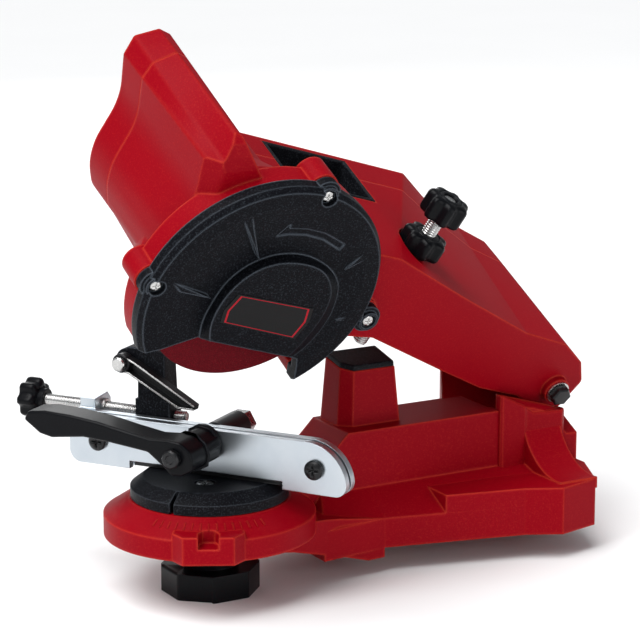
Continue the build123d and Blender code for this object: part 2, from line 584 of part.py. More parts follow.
with BuildPart() as pawl_pin:
    bar(jaw_plane(0.5, PAWL_X, PAWL_Z), 2.48, -19)
    bar(jaw_plane(0.5, PAWL_X, PAWL_Z), 3.6, 2.5)
    finish(pawl_pin, "pawl_pin")

with BuildPart() as stop_pawl:
    # Thin stop finger that drops from the pin into the chain track.
    slab(jaw_plane(-5.6), [(-53.5, 99.5), (-50, 101.5), (-44, 99), (-15, 84), (-6, 80), (-9, 78),
                           (-17, 77.5), (-48, 92.5), (-53, 94)], 5.4)
    bar(jaw_plane(10, PAWL_X, PAWL_Z), 2.48 + RUNNING, -40, mode=Mode.SUBTRACT)
    finish(stop_pawl, "stop_pawl")

# ------------------------------------------------------------------ arm mouldings
with BuildPart() as arm_shell:
    # Outer form: tapering arm, round motor tube, tower and wheel ring.
    loft([outline(arm_plane(ARM_NEAR), ARM_NEAR_PROFILE, 4),
          outline(arm_plane(ARM_FAR), ARM_FAR_PROFILE, 4)], ruled=True)
    turned(MOTOR_TUBE)
    tower = loft([eased(arm_plane(-1), TOWER_NEAR_PROFILE, TOWER_CORNERS),
                  eased(arm_plane(ARM_FAR), TOWER_FAR_PROFILE, TOWER_CORNERS)],
                 ruled=True, mode=Mode.PRIVATE)
    side = slab(side_plane(60), TOWER_SIDE, 130, mode=Mode.PRIVATE)
    plan = extrude(eased(deck_plane(40), TOWER_PLAN, PLAN_CORNERS), amount=150, mode=Mode.PRIVATE)
    add(tower & side & plan)
    bar(arm_plane(RING_BACK, WHEEL_S, WHEEL_V), RING_RADIUS, RING_FRONT - RING_BACK)
    for s, v in GUARD_SCREWS:
        bar(arm_plane(RING_BACK - 2.5, s, v), 8.2, RING_FRONT - RING_BACK + 2.5)
    bar(arm_plane(ARM_NEAR - 1, PIVOT_S, PIVOT_V), 7.5, 5)
    # Inside of the arm, the tube and the tower.
    loft([outline(arm_plane(ARM_NEAR - CHEEK), ARM_NEAR_PROFILE, shrink=4),
          outline(arm_plane(ARM_FAR + CHEEK), ARM_FAR_PROFILE, shrink=4)],
         ruled=True, mode=Mode.SUBTRACT)
    turned(MOTOR_BORE, mode=Mode.SUBTRACT)
    loft([outline(arm_plane(RING_BACK - 6), TOWER_NEAR_INSIDE),
          outline(arm_plane(ARM_FAR + CHEEK), TOWER_FAR_INSIDE)], ruled=True, mode=Mode.SUBTRACT)
    # Wheel chamber, open at the bottom.
    bar(arm_plane(-3.5, WHEEL_S, WHEEL_V), RING_RADIUS - 5.5, 20, mode=Mode.SUBTRACT)
    slab(arm_plane(RING_BACK - 0.01), WHEEL_OPENING, 30, mode=Mode.SUBTRACT)
    bar(arm_plane(20, WHEEL_S, WHEEL_V), 18, -35, mode=Mode.SUBTRACT)
    # Room for the pivot barrel and its web.
    bar(arm_plane(ARM_NEAR - CHEEK, PIVOT_S, PIVOT_V), BARREL_CLEAR,
        ARM_FAR - ARM_NEAR + 2 * CHEEK, mode=Mode.SUBTRACT)
    slab(arm_plane(ARM_NEAR - CHEEK), [(150, -60), (232, -60), (232, PIVOT_V), (150, PIVOT_V)],
         ARM_FAR - ARM_NEAR + 2 * CHEEK, mode=Mode.SUBTRACT)
    # Bearing seats, motor ribs and screw bosses.
    tube(arm_plane(RING_BACK - 10, WHEEL_S, WHEEL_V), 20, BEARING_RADIUS + 0.02, 10)
    tube(arm_plane(ARM_FAR + 1, WHEEL_S, WHEEL_V), 14, BEARING_RADIUS + 0.02, 12)
    with BuildSketch(arm_plane(-20, WHEEL_S, WHEEL_V)) as ribs:
        for angle in (45, 225, 315):
            with PolarLocations(35, 1, start_angle=angle):
                Rectangle(17.6, 3)
    extrude(ribs.sketch, amount=-11)
    for s, v in COVER_SCREWS:
        bar(arm_plane(ARM_NEAR - CHEEK + 1, s, v), 5, ARM_FAR - ARM_NEAR + 2 * CHEEK - 2)
    for s, v in BOARD_SCREWS:
        bar(arm_plane(-77.65, s, v), 3, -7)
    # Boss, nut pocket and spot face of the depth screw.
    bar(rod_plane(37), 10, 19)
    bar(rod_plane(58.1), 13, 25, mode=Mode.SUBTRACT)
    hexagon(rod_plane(36), 13.05, 7.5, mode=Mode.SUBTRACT)
    bar(rod_plane(-3), ROD_RADIUS + 1.5, 39, mode=Mode.SUBTRACT)
    bar(rod_plane(-3), ROD_RADIUS + 0.1, 80, mode=Mode.SUBTRACT)
    # Grip recess in the top of the arm.
    block(rod_plane(6, 71, 100.1, -68), 36, 56, -20, mode=Mode.SUBTRACT)
    # Pivot hole, guard screw holes and cover screw holes.
    bar(arm_plane(20, PIVOT_S, PIVOT_V), PIVOT_PIN_RADIUS + RUNNING, -140, mode=Mode.SUBTRACT)
    for s, v in GUARD_SCREWS:
        bar(arm_plane(20, s, v), 2.0, -30, mode=Mode.SUBTRACT)
    for s, v in COVER_SCREWS:
        bar(arm_plane(-52, s, v), 2.0, -60, mode=Mode.SUBTRACT)
        bar(arm_plane(ARM_FAR + 3, s, v), 4.2, -10, mode=Mode.SUBTRACT)
    # Cable gland hole in the far cheek.
    bar(arm_plane(ARM_FAR + 10, 66, 74), 7.0, -30, mode=Mode.SUBTRACT)

with BuildPart() as arm_housing:
    add(arm_shell.part)
    split(bisect_by=arm_plane(PARTING), keep=Keep.TOP)
    finish(arm_housing, "arm_housing")

with BuildPart() as arm_cover:
    add(arm_shell.part)
    split(bisect_by=arm_plane(PARTING), keep=Keep.BOTTOM)
    finish(arm_cover, "arm_cover")

with BuildPart() as cover_screws:
    for s, v in COVER_SCREWS:
        pan_screw(far_plane(ARM_FAR + 3, s, v), 3.9, 2.2, 1.98, 30)
    finish(cover_screws, "cover_screws")

with BuildPart() as wheel_guard:
    # Turned form: outer wall, rim band and the dished face inside it.
    turned(GUARD_PROFILE)
    # Raised island running down to the skirt, and the fins between it and the rim.
    loft([island(arm_plane(9.2), ISLAND_FOOT), island(arm_plane(ISLAND_FRONT), ISLAND_TOP)],
         ruled=True)
    for fin in GUARD_FINS:
        slab(arm_plane(8.5), fin, 4.1)
    # Turning arrow sunk evenly into the dish.
    sunk = turned([(30, 8.8), (54, 12), (54, 14), (30, 14)], mode=Mode.PRIVATE)
    add(slab(arm_plane(6), ARROW, 10, mode=Mode.PRIVATE) & sunk, mode=Mode.SUBTRACT)
    # Screw bosses with their collars.
    for s, v in GUARD_SCREWS:
        bar(arm_plane(RING_FRONT, s, v), 7.4, 4.4)
        bar(arm_plane(RING_FRONT, s, v), 5.3, 6.8)
    # Hollow behind the face, deeper under the island.
    bar(arm_plane(RING_FRONT, WHEEL_S, WHEEL_V), GUARD_RADIUS - 6, 3, mode=Mode.SUBTRACT)
    bar(arm_plane(RING_FRONT, 9, 83), 23, 8.6, mode=Mode.SUBTRACT)
    slab(arm_plane(RING_FRONT - 1), WHEEL_OPENING, 30, mode=Mode.SUBTRACT)
    for s, v in GUARD_SCREWS:
        bar(arm_plane(30, s, v), 2.0, -40, mode=Mode.SUBTRACT)
        bar(arm_plane(30, s, v), 4.0, -20.8, mode=Mode.SUBTRACT)
    finish(wheel_guard, "wheel_guard")

with BuildPart() as guard_screws:
    for s, v in GUARD_SCREWS:
        pan_screw(arm_plane(9.2, s, v), 3.1, 1.9, 1.98, 15)
    finish(guard_screws, "guard_screws")

with BuildPart() as label_plate:
    slab(arm_plane(ISLAND_FRONT), LABEL, 0.3)
    finish(label_plate, "label_plate")

with BuildPart() as recess_tray:
    block(rod_plane(0.3, 71, 100.1, -68), 35.8, 55.8, -14)
    block(rod_plane(1, 71, 100.1, -68), 31, 51, -13, mode=Mode.SUBTRACT)
    block(rod_plane(1, 66, 101.8, -68), 13.1, 19.1, -20, mode=Mode.SUBTRACT)
    finish(recess_tray, "recess_tray")

with BuildPart() as switch_body:
    block(rod_plane(-13.8, 66, 101.8, -68), 18, 24, -12)
    block(rod_plane(-13.8, 66, 101.8, -68), 13.1, 19.1, -1.8, mode=Mode.SUBTRACT)
    finish(switch_body, "switch_body")

with BuildPart() as switch_rocker:
    block(rod_plane(-12.9, 66, 101.8, -68), 12.4, 17.8, 4)
    finish(switch_rocker, "switch_rocker")

# ------------------------------------------------------------------ motor and spindle
with BuildPart() as motor_can:
    tube(arm_plane(-19, WHEEL_S, WHEEL_V), MOTOR_CAN_RADIUS, MOTOR_CAN_RADIUS - 1.2, -50)
    tube(arm_plane(-19, WHEEL_S, WHEEL_V), MOTOR_CAN_RADIUS, SHAFT_RADIUS + 2, -1.5)
    finish(motor_can, "motor_can")

with BuildPart() as motor_magnets:
    tube(arm_plane(-26, WHEEL_S, WHEEL_V), MOTOR_CAN_RADIUS - 1.22, 20, -32)
    block(arm_plane(-20, WHEEL_S, WHEEL_V), 14, 60, -60, mode=Mode.SUBTRACT)
    finish(motor_magnets, "motor_magnets")

with BuildPart() as motor_end_cap:
    tube(arm_plane(-69, WHEEL_S, WHEEL_V), MOTOR_CAN_RADIUS, SHAFT_RADIUS + 1, -3)
    finish(motor_end_cap, "motor_end_cap")

with BuildPart() as brush_holders:
    for side in (-1, 1):
        block(arm_plane(-60, WHEEL_S + side * 15, WHEEL_V), 11, 6, -9)
    finish(brush_holders, "brush_holders")

with BuildPart() as bearing_front:
    tube(arm_plane(RING_BACK - 3, WHEEL_S, WHEEL_V), BEARING_RADIUS, SHAFT_RADIUS, -7)
    finish(bearing_front, "bearing_front")

with BuildPart() as bearing_rear:
    tube(arm_plane(-77, WHEEL_S, WHEEL_V), BEARING_RADIUS, SHAFT_RADIUS, -7)
    finish(bearing_rear, "bearing_rear")

with BuildPart() as motor_shaft:
    bar(arm_plane(12, WHEEL_S, WHEEL_V), SHAFT_RADIUS - 0.03, -96)
    finish(motor_shaft, "motor_shaft")

with BuildPart() as armature:
    with BuildSketch(arm_plane(-27, WHEEL_S, WHEEL_V)) as laminations:
        Circle(19)
        with PolarLocations(17, 12):
            Rectangle(7, 2.2, mode=Mode.SUBTRACT)
        Circle(SHAFT_RADIUS - 0.03, mode=Mode.SUBTRACT)
    extrude(laminations.sketch, amount=-28)
    finish(armature, "armature")

with BuildPart() as commutator:
    tube(arm_plane(-56, WHEEL_S, WHEEL_V), 8.2, SHAFT_RADIUS - 0.03, -12)
    finish(commutator, "commutator")

with BuildPart() as inner_flange:
    tube(arm_plane(-6.5, WHEEL_S, WHEEL_V), 16, SHAFT_RADIUS - 0.03, 4.9)
    tube(arm_plane(-1.6, WHEEL_S, WHEEL_V), WHEEL_BORE_RADIUS - 0.05, SHAFT_RADIUS - 0.03, 3)
    finish(inner_flange, "inner_flange")

with BuildPart() as grinding_wheel:
    tube(arm_plane(-1.6, WHEEL_S, WHEEL_V), WHEEL_RADIUS, WHEEL_BORE_RADIUS, WHEEL_THICKNESS)
    finish(grinding_wheel, "grinding_wheel")

with BuildPart() as outer_flange:
    tube(arm_plane(1.62, WHEEL_S, WHEEL_V), 16, SHAFT_RADIUS - 0.03, 2.4)
    finish(outer_flange, "outer_flange")

with BuildPart() as spindle_nut:
    hexagon(arm_plane(4.05, WHEEL_S, WHEEL_V), 13, 5, SHAFT_RADIUS - 0.03)
    finish(spindle_nut, "spindle_nut")

# ------------------------------------------------------------------ electrics in the arm
with BuildPart() as circuit_board:
    block(arm_plane(-76, 92, 63), 30, 18, -1.6)
    block(arm_plane(-76, 85, 64), 10, 12, 7)
    bar(arm_plane(-76, 99, 62), 4, 9)
    finish(circuit_board, "circuit_board")

with BuildPart() as cable_gland:
    tube(arm_plane(ARM_FAR, 66, 74), 9, 3.2, -3)
    tube(arm_plane(ARM_FAR + 8, 66, 74), 6.95, 3.2, -22)
    finish(cable_gland, "cable_gland")

# ------------------------------------------------------------------ depth stop
with BuildPart() as depth_nut_insert:
    hexagon(rod_plane(37), 13, 6.4, ROD_RADIUS + RUNNING)
    finish(depth_nut_insert, "depth_nut_insert")

with BuildPart() as depth_screw:
    bar(rod_plane(0), ROD_RADIUS, ROD_LENGTH)
    finish(depth_screw, "depth_screw")

with BuildPart() as lock_nut:
    star_knob(rod_plane(58.3), 12, 11.5, 7, ROD_RADIUS + RUNNING)
    finish(lock_nut, "lock_nut")

with BuildPart() as depth_knob:
    star_knob(rod_plane(79), 11.5, 13, 7, ROD_RADIUS + RUNNING)
    finish(depth_knob, "depth_knob")
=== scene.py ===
"""Scene of an electric chainsaw sharpener: finishes, fine detail, light and camera."""

import logging
import math
from dataclasses import dataclass, field
from enum import Enum
from typing import Callable

import bmesh
import bpy
from bmesh.types import BMesh
from bpy.types import ID, Material, Mesh, Node, NodeSocket, NodeTree, Object
from mathutils import Euler, Matrix, Vector


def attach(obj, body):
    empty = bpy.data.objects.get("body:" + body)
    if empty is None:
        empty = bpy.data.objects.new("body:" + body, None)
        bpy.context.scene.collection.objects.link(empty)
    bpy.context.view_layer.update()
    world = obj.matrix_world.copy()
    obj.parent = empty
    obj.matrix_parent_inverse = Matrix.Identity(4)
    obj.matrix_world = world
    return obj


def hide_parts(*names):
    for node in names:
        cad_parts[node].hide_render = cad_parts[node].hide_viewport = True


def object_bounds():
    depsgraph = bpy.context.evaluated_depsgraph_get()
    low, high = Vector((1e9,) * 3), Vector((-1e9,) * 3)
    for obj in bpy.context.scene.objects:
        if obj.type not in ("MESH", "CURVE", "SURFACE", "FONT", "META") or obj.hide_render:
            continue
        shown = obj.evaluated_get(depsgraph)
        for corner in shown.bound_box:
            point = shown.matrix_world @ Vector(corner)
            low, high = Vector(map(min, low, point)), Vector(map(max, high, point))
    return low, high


LOG = logging.getLogger("sharpener")
MM = 0.001
MERGE = 1e-6  # points of a new form closer than this, in metres, are one
CAD_MERGE = 2e-6  # the same for the loose triangles of a CAD node
FLAT = math.radians(0.4)  # triangles that meet at less than this are one face
SHORTEST = 3.0  # edges of a CAD node shorter than this, in millimetres, aren't rounded
FLOOR_GAP = 0.0001  # how far the floor lies under the lowest point, in metres

TILT = math.radians(27.0)  # lean of the grinding plane
SWIVEL = math.radians(35.0)  # turn of the vise on its bolt
ROD_LEAN = math.radians(18.8)  # lean of the depth screw in the grinding plane
RAIL_TOP = 70.0  # height from which the arm's plane is measured
JAW_END = -77.5  # far end of the jaws, measured along them
CLAMP_AXIS = (0.5, 63.8)  # clamping spindle, along the jaws and up
FEED_AXIS = (-14.0, 69.5)  # feed screw of the chain stop, across the jaws and up
TOWARDS_OPERATOR = Vector((0.0, -math.cos(TILT), -math.sin(TILT)))
UP_THE_ARM = Vector((0.0, -math.sin(TILT), math.cos(TILT)))
OUT_OF_JAW = Vector((-math.cos(SWIVEL), -math.sin(SWIVEL), 0.0))
ALONG_JAW = Vector((math.sin(SWIVEL), -math.cos(SWIVEL), 0.0))
UP_THE_ROD = Vector((1.0, 0.0, 0.0)) * math.sin(ROD_LEAN) + UP_THE_ARM * math.cos(ROD_LEAN)

Triple = tuple[float, float, float]
Places = tuple[tuple[float, float], ...]
Profile = list[tuple[float, float]]

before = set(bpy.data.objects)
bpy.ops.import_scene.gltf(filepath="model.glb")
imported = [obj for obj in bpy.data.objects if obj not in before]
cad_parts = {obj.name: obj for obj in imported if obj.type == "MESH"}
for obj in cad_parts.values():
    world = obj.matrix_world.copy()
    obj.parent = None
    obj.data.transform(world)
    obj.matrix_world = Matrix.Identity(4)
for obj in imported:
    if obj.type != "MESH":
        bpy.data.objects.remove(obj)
CAD_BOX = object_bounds()


class Body(str, Enum):
    """Bodies that the pieces move with."""

    BASE = "base"
    TURNTABLE = "turntable"
    MOVING_JAW = "moving_jaw"
    LEVER = "lever"
    LOCK_KNOB = "lock_knob"
    ADJUSTER = "adjuster"
    SLIDER = "slider"
    PAWL = "pawl"
    ARM = "arm"
    ROCKER = "rocker"
    SPINDLE = "spindle"
    DEPTH_ROD = "depth_rod"
    DEPTH_KNOB = "depth_knob"
    LOCK_NUT = "lock_nut"


class Slot(str, Enum):
    """Material slots of the record, named for the new pieces but not given to them here."""

    RED = "red_plastic"
    BLACK = "black_plastic"
    PLATE = "zinc_steel"
    ZINC = "bright_zinc"
    OXIDE = "black_steel"
    GRIT = "wheel_abrasive"
    LABEL = "label"


# --- working planes
@dataclass(frozen=True)
class Seat:
    """A place on the sharpener: a point in millimetres and the way it faces."""

    point: Vector
    across: Vector
    facing: Vector

    def carry(self, mesh: Mesh) -> Mesh:
        """Move a mesh to this seat.

        Args:
            mesh: The mesh, upright on the origin.

        Returns:
            The same mesh.
        """
        turn = Matrix((self.across, self.facing.cross(self.across), self.facing)).transposed()
        mesh.transform(Matrix.Translation(self.point * MM) @ turn.to_4x4())
        return mesh


def on_arm(s: float, v: float, depth: float, outward: float = 1.0) -> Seat:
    """Seat on the grinding plane: to the rear, up the arm, and towards the operator."""
    point = Vector((s, 0, RAIL_TOP)) + UP_THE_ARM * v + TOWARDS_OPERATOR * depth
    return Seat(point, Vector((1, 0, 0)), TOWARDS_OPERATOR * outward)


def on_jaw(x: float, z: float, out: float) -> Seat:
    """Seat on the upright plane of the jaws: along them, up, and out to the lever's side."""
    point = OUT_OF_JAW * out + ALONG_JAW * x + Vector((0, 0, z))
    return Seat(point, ALONG_JAW, OUT_OF_JAW)


def on_rail(x: float) -> Seat:
    """Seat on the feed screw's axis, facing along the jaws to their near end."""
    out, height = FEED_AXIS
    point = OUT_OF_JAW * out + ALONG_JAW * x + Vector((0, 0, height))
    return Seat(point, -OUT_OF_JAW, ALONG_JAW)


def on_rod(along: float) -> Seat:
    """Seat square to the depth screw, measured up from its tip."""
    tip = Vector((87.7, 0, RAIL_TOP)) + UP_THE_ARM * 27.9 + TOWARDS_OPERATOR * -18.0
    return Seat(tip + UP_THE_ROD * along, TOWARDS_OPERATOR, UP_THE_ROD)


def on_level(x: float, y: float, z: float, turn: float = 0.0) -> Seat:
    """Level seat, turned about the vertical by degrees."""
    across = Vector((math.cos(math.radians(turn)), math.sin(math.radians(turn)), 0))
    return Seat(Vector((x, y, z)), across, Vector((0, 0, 1)))


def stand(name: str, data: ID) -> Object:
    """Put an object of some data into the scene.

    Args:
        name: Name of the object.
        data: Its mesh, light or camera.

    Returns:
        The object.
    """
    thing = bpy.data.objects.new(name, data)
    bpy.context.scene.collection.objects.link(thing)
    return thing


# --- node arithmetic
class Field:
    """A number that varies over a surface, combined with ordinary arithmetic."""

    def __init__(self, tree: NodeTree, socket: NodeSocket) -> None:
        """Wrap an output socket of a node tree."""
        self.tree = tree
        self.socket = socket

    def apply(self, operation: str, *others: "Field | float") -> "Field":
        """Join this number with others through one maths node.

        Args:
            operation: Name of the operation.
            others: Further numbers, fixed or varying.

        Returns:
            The varying result.
        """
        node = self.tree.nodes.new("ShaderNodeMath")
        node.operation = operation
        self.tree.links.new(self.socket, node.inputs[0])
        for socket, other in zip(node.inputs[1:], others):
            if isinstance(other, Field):
                self.tree.links.new(other.socket, socket)
            else:
                socket.default_value = other
        return Field(self.tree, node.outputs[0])

    def __add__(self, other: "Field | float") -> "Field":
        """Sum."""
        return self.apply("ADD", other)

    def __sub__(self, other: "Field | float") -> "Field":
        """Difference."""
        return self.apply("SUBTRACT", other)

    def __mul__(self, other: "Field | float") -> "Field":
        """Product."""
        return self.apply("MULTIPLY", other)

    def __truediv__(self, other: "Field | float") -> "Field":
        """Quotient."""
        return self.apply("DIVIDE", other)

    def clamped(self) -> "Field":
        """The number held between nought and one."""
        return self.apply("MAXIMUM", 0.0).apply("MINIMUM", 1.0)

    def flipped(self) -> "Field":
        """One less the number."""
        return self * -1.0 + 1.0


class NodeBoard:
    """A node tree that nodes are added to."""

    def __init__(self, tree: NodeTree) -> None:
        """Take up a tree."""
        self.tree = tree

    def add(self, kind: str, feeds: dict, **settings: object) -> Node:
        """Add one node.

        Args:
            kind: Node type.
            feeds: Values or sockets for its inputs, by name or number.
            settings: Properties of the node.

        Returns:
            The new node.
        """
        node = self.tree.nodes.new(kind)
        for key, value in settings.items():
            setattr(node, key, value)
        for key, value in feeds.items():
            if isinstance(value, Field):
                value = value.socket
            if isinstance(value, NodeSocket):
                self.tree.links.new(value, node.inputs[key])
            else:
                node.inputs[key].default_value = value
        return node


class GrowthTree(NodeBoard):
    """A geometry node tree with named sizes, ending in real faces and one finish."""

    def __init__(self, name: str) -> None:
        """Start a tree with one geometry going in and one coming out."""
        super().__init__(bpy.data.node_groups.new(name, "GeometryNodeTree"))
        for way in ("OUTPUT", "INPUT"):
            self.tree.interface.new_socket("Geometry", in_out=way, socket_type="NodeSocketGeometry")
        self.enter = self.tree.nodes.new("NodeGroupInput")
        self.leave = self.tree.nodes.new("NodeGroupOutput")

    def size(self, name: str, kind: str = "Float") -> Field:
        """Named input of the tree."""
        self.tree.interface.new_socket(name, in_out="INPUT", socket_type=f"NodeSocket{kind}")
        return Field(self.tree, self.enter.outputs[name])

    def place(self) -> tuple[Field, Field, Field, Field]:
        """The three coordinates of each point, and its distance from the axis.

        Returns:
            The four numbers.
        """
        where = self.add("GeometryNodeInputPosition", {}).outputs[0]
        parts = self.add("ShaderNodeSeparateXYZ", {0: where})
        x, y, z = (Field(self.tree, part) for part in parts.outputs)
        return x, y, z, (x * x + y * y).apply("SQRT")

    def vector(self, x: Field | float, y: Field | float, z: Field | float) -> NodeSocket:
        """Join three numbers into a vector."""
        return self.add("ShaderNodeCombineXYZ", {0: x, 1: y, 2: z}).outputs[0]

    def sow(self, places: NodeSocket, shape: Node, **feeds: object) -> None:
        """End the tree with one copy of a shape on each place.

        Args:
            places: Points to stand the copies on.
            shape: Node that makes the shape.
            feeds: Turn and size of the copies.
        """
        feeds = {"Points": places, "Instance": shape.outputs[0], **feeds}
        self.close(self.add("GeometryNodeInstanceOnPoints", feeds).outputs[0])

    def narrow(self, keep: Field) -> None:
        """End the tree with each point of the blank drawn in to the axis.

        Args:
            keep: Share of its distance that a point keeps.
        """
        x, y, z, _ = self.place()
        where = self.vector(x * keep, y * keep, z)
        moved = self.add("GeometryNodeSetPosition", {0: self.enter.outputs[0], "Position": where})
        self.close(moved.outputs[0])

    def close(self, geometry: NodeSocket) -> None:
        """End the tree: make instances real and give them the finish.

        Args:
            geometry: What the tree has made.
        """
        solid = self.add("GeometryNodeRealizeInstances", {0: geometry}).outputs[0]
        feeds = {0: solid, "Material": self.size("Finish", "Material")}
        dressed = self.add("GeometryNodeSetMaterial", feeds)
        self.tree.links.new(dressed.outputs[0], self.leave.inputs[0])

    def grow(self, blank: Mesh, look: Material, **sizes: float) -> Mesh:
        """Run the tree on a blank and keep the result as a plain mesh.

        Args:
            blank: Mesh that the tree starts from.
            look: Finish of the result.
            sizes: Values of the named inputs.

        Returns:
            The finished mesh.
        """
        carrier = stand("carrier", blank)
        modifier = carrier.modifiers.new("Growth", "NODES")
        modifier.node_group = self.tree
        values = {"Finish": look, **sizes}
        for item in self.tree.interface.items_tree:
            if item.in_out == "INPUT" and item.name in values:
                modifier[item.identifier] = values[item.name]
        evaluated = carrier.evaluated_get(bpy.context.evaluated_depsgraph_get())
        mesh = bpy.data.meshes.new_from_object(evaluated)
        carrier.modifiers.remove(modifier)
        bpy.data.objects.remove(carrier)
        return mesh


# --- finishes
class Recipe(NodeBoard):
    """A material under construction round one surface shader."""

    def __init__(self, name: str) -> None:
        """Start a material with only its shader and output."""
        self.material = bpy.data.materials.new(name)
        self.material.use_nodes = True
        super().__init__(self.material.node_tree)
        self.tree.nodes.clear()
        self.shader = self.add("ShaderNodeBsdfPrincipled", {})
        self.add("ShaderNodeOutputMaterial", {0: self.shader.outputs[0]})
        self.where = self.add("ShaderNodeTexCoord", {}).outputs["Object"]

    def noise(self, scale: float, detail: float = 3.0, stretch: Triple = (1, 1, 1)) -> Field:
        """Noise over the piece.

        Args:
            scale: Features to the metre.
            detail: Layers of finer noise.
            stretch: Squeeze of the pattern along each axis.

        Returns:
            The noise, from nought to one.
        """
        where = self.add("ShaderNodeMapping", {0: self.where, "Scale": stretch}).outputs[0]
        node = self.add("ShaderNodeTexNoise", {"Vector": where, "Scale": scale, "Detail": detail})
        return Field(self.tree, node.outputs[0])

    def edges(self, radius: float) -> tuple[NodeSocket, Field]:
        """Softened edge normals, and a mask that is bright on the edges.

        Args:
            radius: Reach of the softening in millimetres.

        Returns:
            The normal and the mask.
        """
        soft = self.add("ShaderNodeBevel", {"Radius": radius * MM}, samples=4).outputs[0]
        true = self.add("ShaderNodeNewGeometry", {}).outputs["Normal"]
        dot = self.add("ShaderNodeVectorMath", {0: soft, 1: true}, operation="DOT_PRODUCT")
        return soft, (Field(self.tree, dot.outputs["Value"]).flipped() * 4.0).clamped()

    def mix(self, amount: Field, under: NodeSocket | Triple, over: Triple) -> NodeSocket:
        """Lay a colour over another by a varying amount.

        Args:
            amount: How much of the upper colour shows.
            under: Colour below, fixed or varying.
            over: Colour above.

        Returns:
            The varying colour.
        """
        if isinstance(under, tuple):
            under = (*under, 1)
        feeds = {0: amount.clamped(), 6: under, 7: (*over, 1)}
        return self.add("ShaderNodeMix", feeds, data_type="RGBA").outputs[2]

    def finish(
        self, colour: NodeSocket, rough: Field, relief: Field, depth: float, normal: NodeSocket,
        metallic: float = 0.0, gloss: float = 0.5,
    ) -> Material:
        """Feed the shader and hand over the material.

        Args:
            colour: Base colour.
            rough: Roughness.
            relief: Height of the surface grain.
            depth: Depth of the grain in millimetres.
            normal: Normal under the grain.
            metallic: Metal or not.
            gloss: Specular level.

        Returns:
            The material.
        """
        feeds = {"Strength": 1.0, "Distance": depth * MM, "Height": relief, "Normal": normal}
        bump = self.add("ShaderNodeBump", feeds)
        sources = {"Base Color": colour, "Roughness": rough.socket, "Normal": bump.outputs[0]}
        for name, source in sources.items():
            self.tree.links.new(source, self.shader.inputs[name])
        self.shader.inputs["Metallic"].default_value = metallic
        self.shader.inputs["Specular IOR Level"].default_value = gloss
        return self.material


@dataclass(frozen=True)
class MouldedPlastic:
    """Spark-eroded moulded plastic, its fine grain a little smoother on the edges, with a lighter colour
    painted on them as a highlight.
    """

    name: str
    colour: Triple
    highlight_and_speckle: Triple
    roughness: float
    grain: float = 0.05
    soften: float = 0.7
    gloss: float = 0.5
    speckle: float = 0.0
    edge_highlight: float = 0.5
    patches: float = 18.0
    grains: float = 1300.0

    def make(self) -> Material:
        """Build the material.

        Returns:
            The material.
        """
        recipe = Recipe(self.name)
        normal, edge = recipe.edges(self.soften)
        cloud = recipe.noise(self.patches, 2.0)
        grain = recipe.noise(self.grains, 3.0)
        shade = tuple(part * 0.86 for part in self.colour)
        # Painted highlight: the lighter colour is laid over every edge the bevel mask finds, standing in for
        # light on rounded edges.
        colour = recipe.mix(edge * self.edge_highlight, recipe.mix(cloud, shade, self.colour), self.highlight_and_speckle)
        # The same lighter colour also makes the fine speckle of the grain.
        colour = recipe.mix((grain - 0.52) * 4.0 * self.speckle, colour, self.highlight_and_speckle)
        rough = (cloud - 0.5) * 0.10 + grain * 0.06 - edge * 0.12 + self.roughness
        return recipe.finish(colour, rough, grain, self.grain, normal, gloss=self.gloss)


@dataclass(frozen=True)
class PlatedSteel:
    """Zinc-plated or blackened steel with a faint rolled grain, a painted highlight on its edges and painted
    shade in its hollows.
    """

    name: str
    colour: Triple
    cast: Triple
    roughness: float
    metallic: float = 1.0
    rolled: Triple = (1.0, 1.0, 0.06)
    soften: float = 0.4
    hollow_shade: float = 0.0
    patches: float = 60.0
    streaks: float = 1400.0

    def make(self) -> Material:
        """Build the material.

        Returns:
            The material.
        """
        recipe = Recipe(self.name)
        normal, edge = recipe.edges(self.soften)
        cloud = recipe.noise(self.patches, 4.0)
        streak = recipe.noise(self.streaks, 2.0, self.rolled)
        hollow = Field(recipe.tree, recipe.add("ShaderNodeNewGeometry", {}).outputs["Pointiness"])
        light = tuple(min(1.0, part * 1.25) for part in self.colour)
        shade = tuple(part * 0.18 for part in self.colour)
        # Painted highlight: a lighter copy of the colour is laid over the edges.
        colour = recipe.mix(edge * 0.5, recipe.mix(cloud * 1.4 - 0.2, self.cast, self.colour), light)
        # Painted shade: the colour is darkened in the hollows found by the mesh's pointiness.
        colour = recipe.mix((hollow * -1.0 + 0.49) * self.hollow_shade, colour, shade)
        rough = (cloud - 0.5) * 0.10 + (streak - 0.5) * 0.08 + self.roughness
        return recipe.finish(colour, rough, streak, 0.004, normal, metallic=self.metallic)


@dataclass(frozen=True)
class BondedAbrasive:
    """Resin-bonded grinding grit: dull and pitted, painted darker in its pits as shade, with a few grains
    painted light as glints.
    """

    name: str
    colour: Triple
    pit_shade: Triple
    painted_glint: Triple
    grits: float = 1700.0
    specks: float = 2600.0

    def make(self) -> Material:
        """Build the material.

        Returns:
            The material.
        """
        recipe = Recipe(self.name)
        normal, edge = recipe.edges(0.4)
        grit = recipe.add("ShaderNodeTexVoronoi", {"Vector": recipe.where, "Scale": self.grits})
        cell = Field(recipe.tree, grit.outputs["Distance"])
        speck = recipe.noise(self.specks, 2.0)
        # Painted shade: the colour is darker towards the middle of each pit, where the bump is lowest.
        colour = recipe.mix(cell * 1.3, self.pit_shade, self.colour)
        # Painted glint: a few specks are laid on in a light colour.
        colour = recipe.mix((speck - 0.62) * 9.0, colour, self.painted_glint)
        rough = cell * 0.12 - edge * 0.05 + 0.78
        return recipe.finish(colour, rough, cell + speck, 0.10, normal, gloss=0.12)


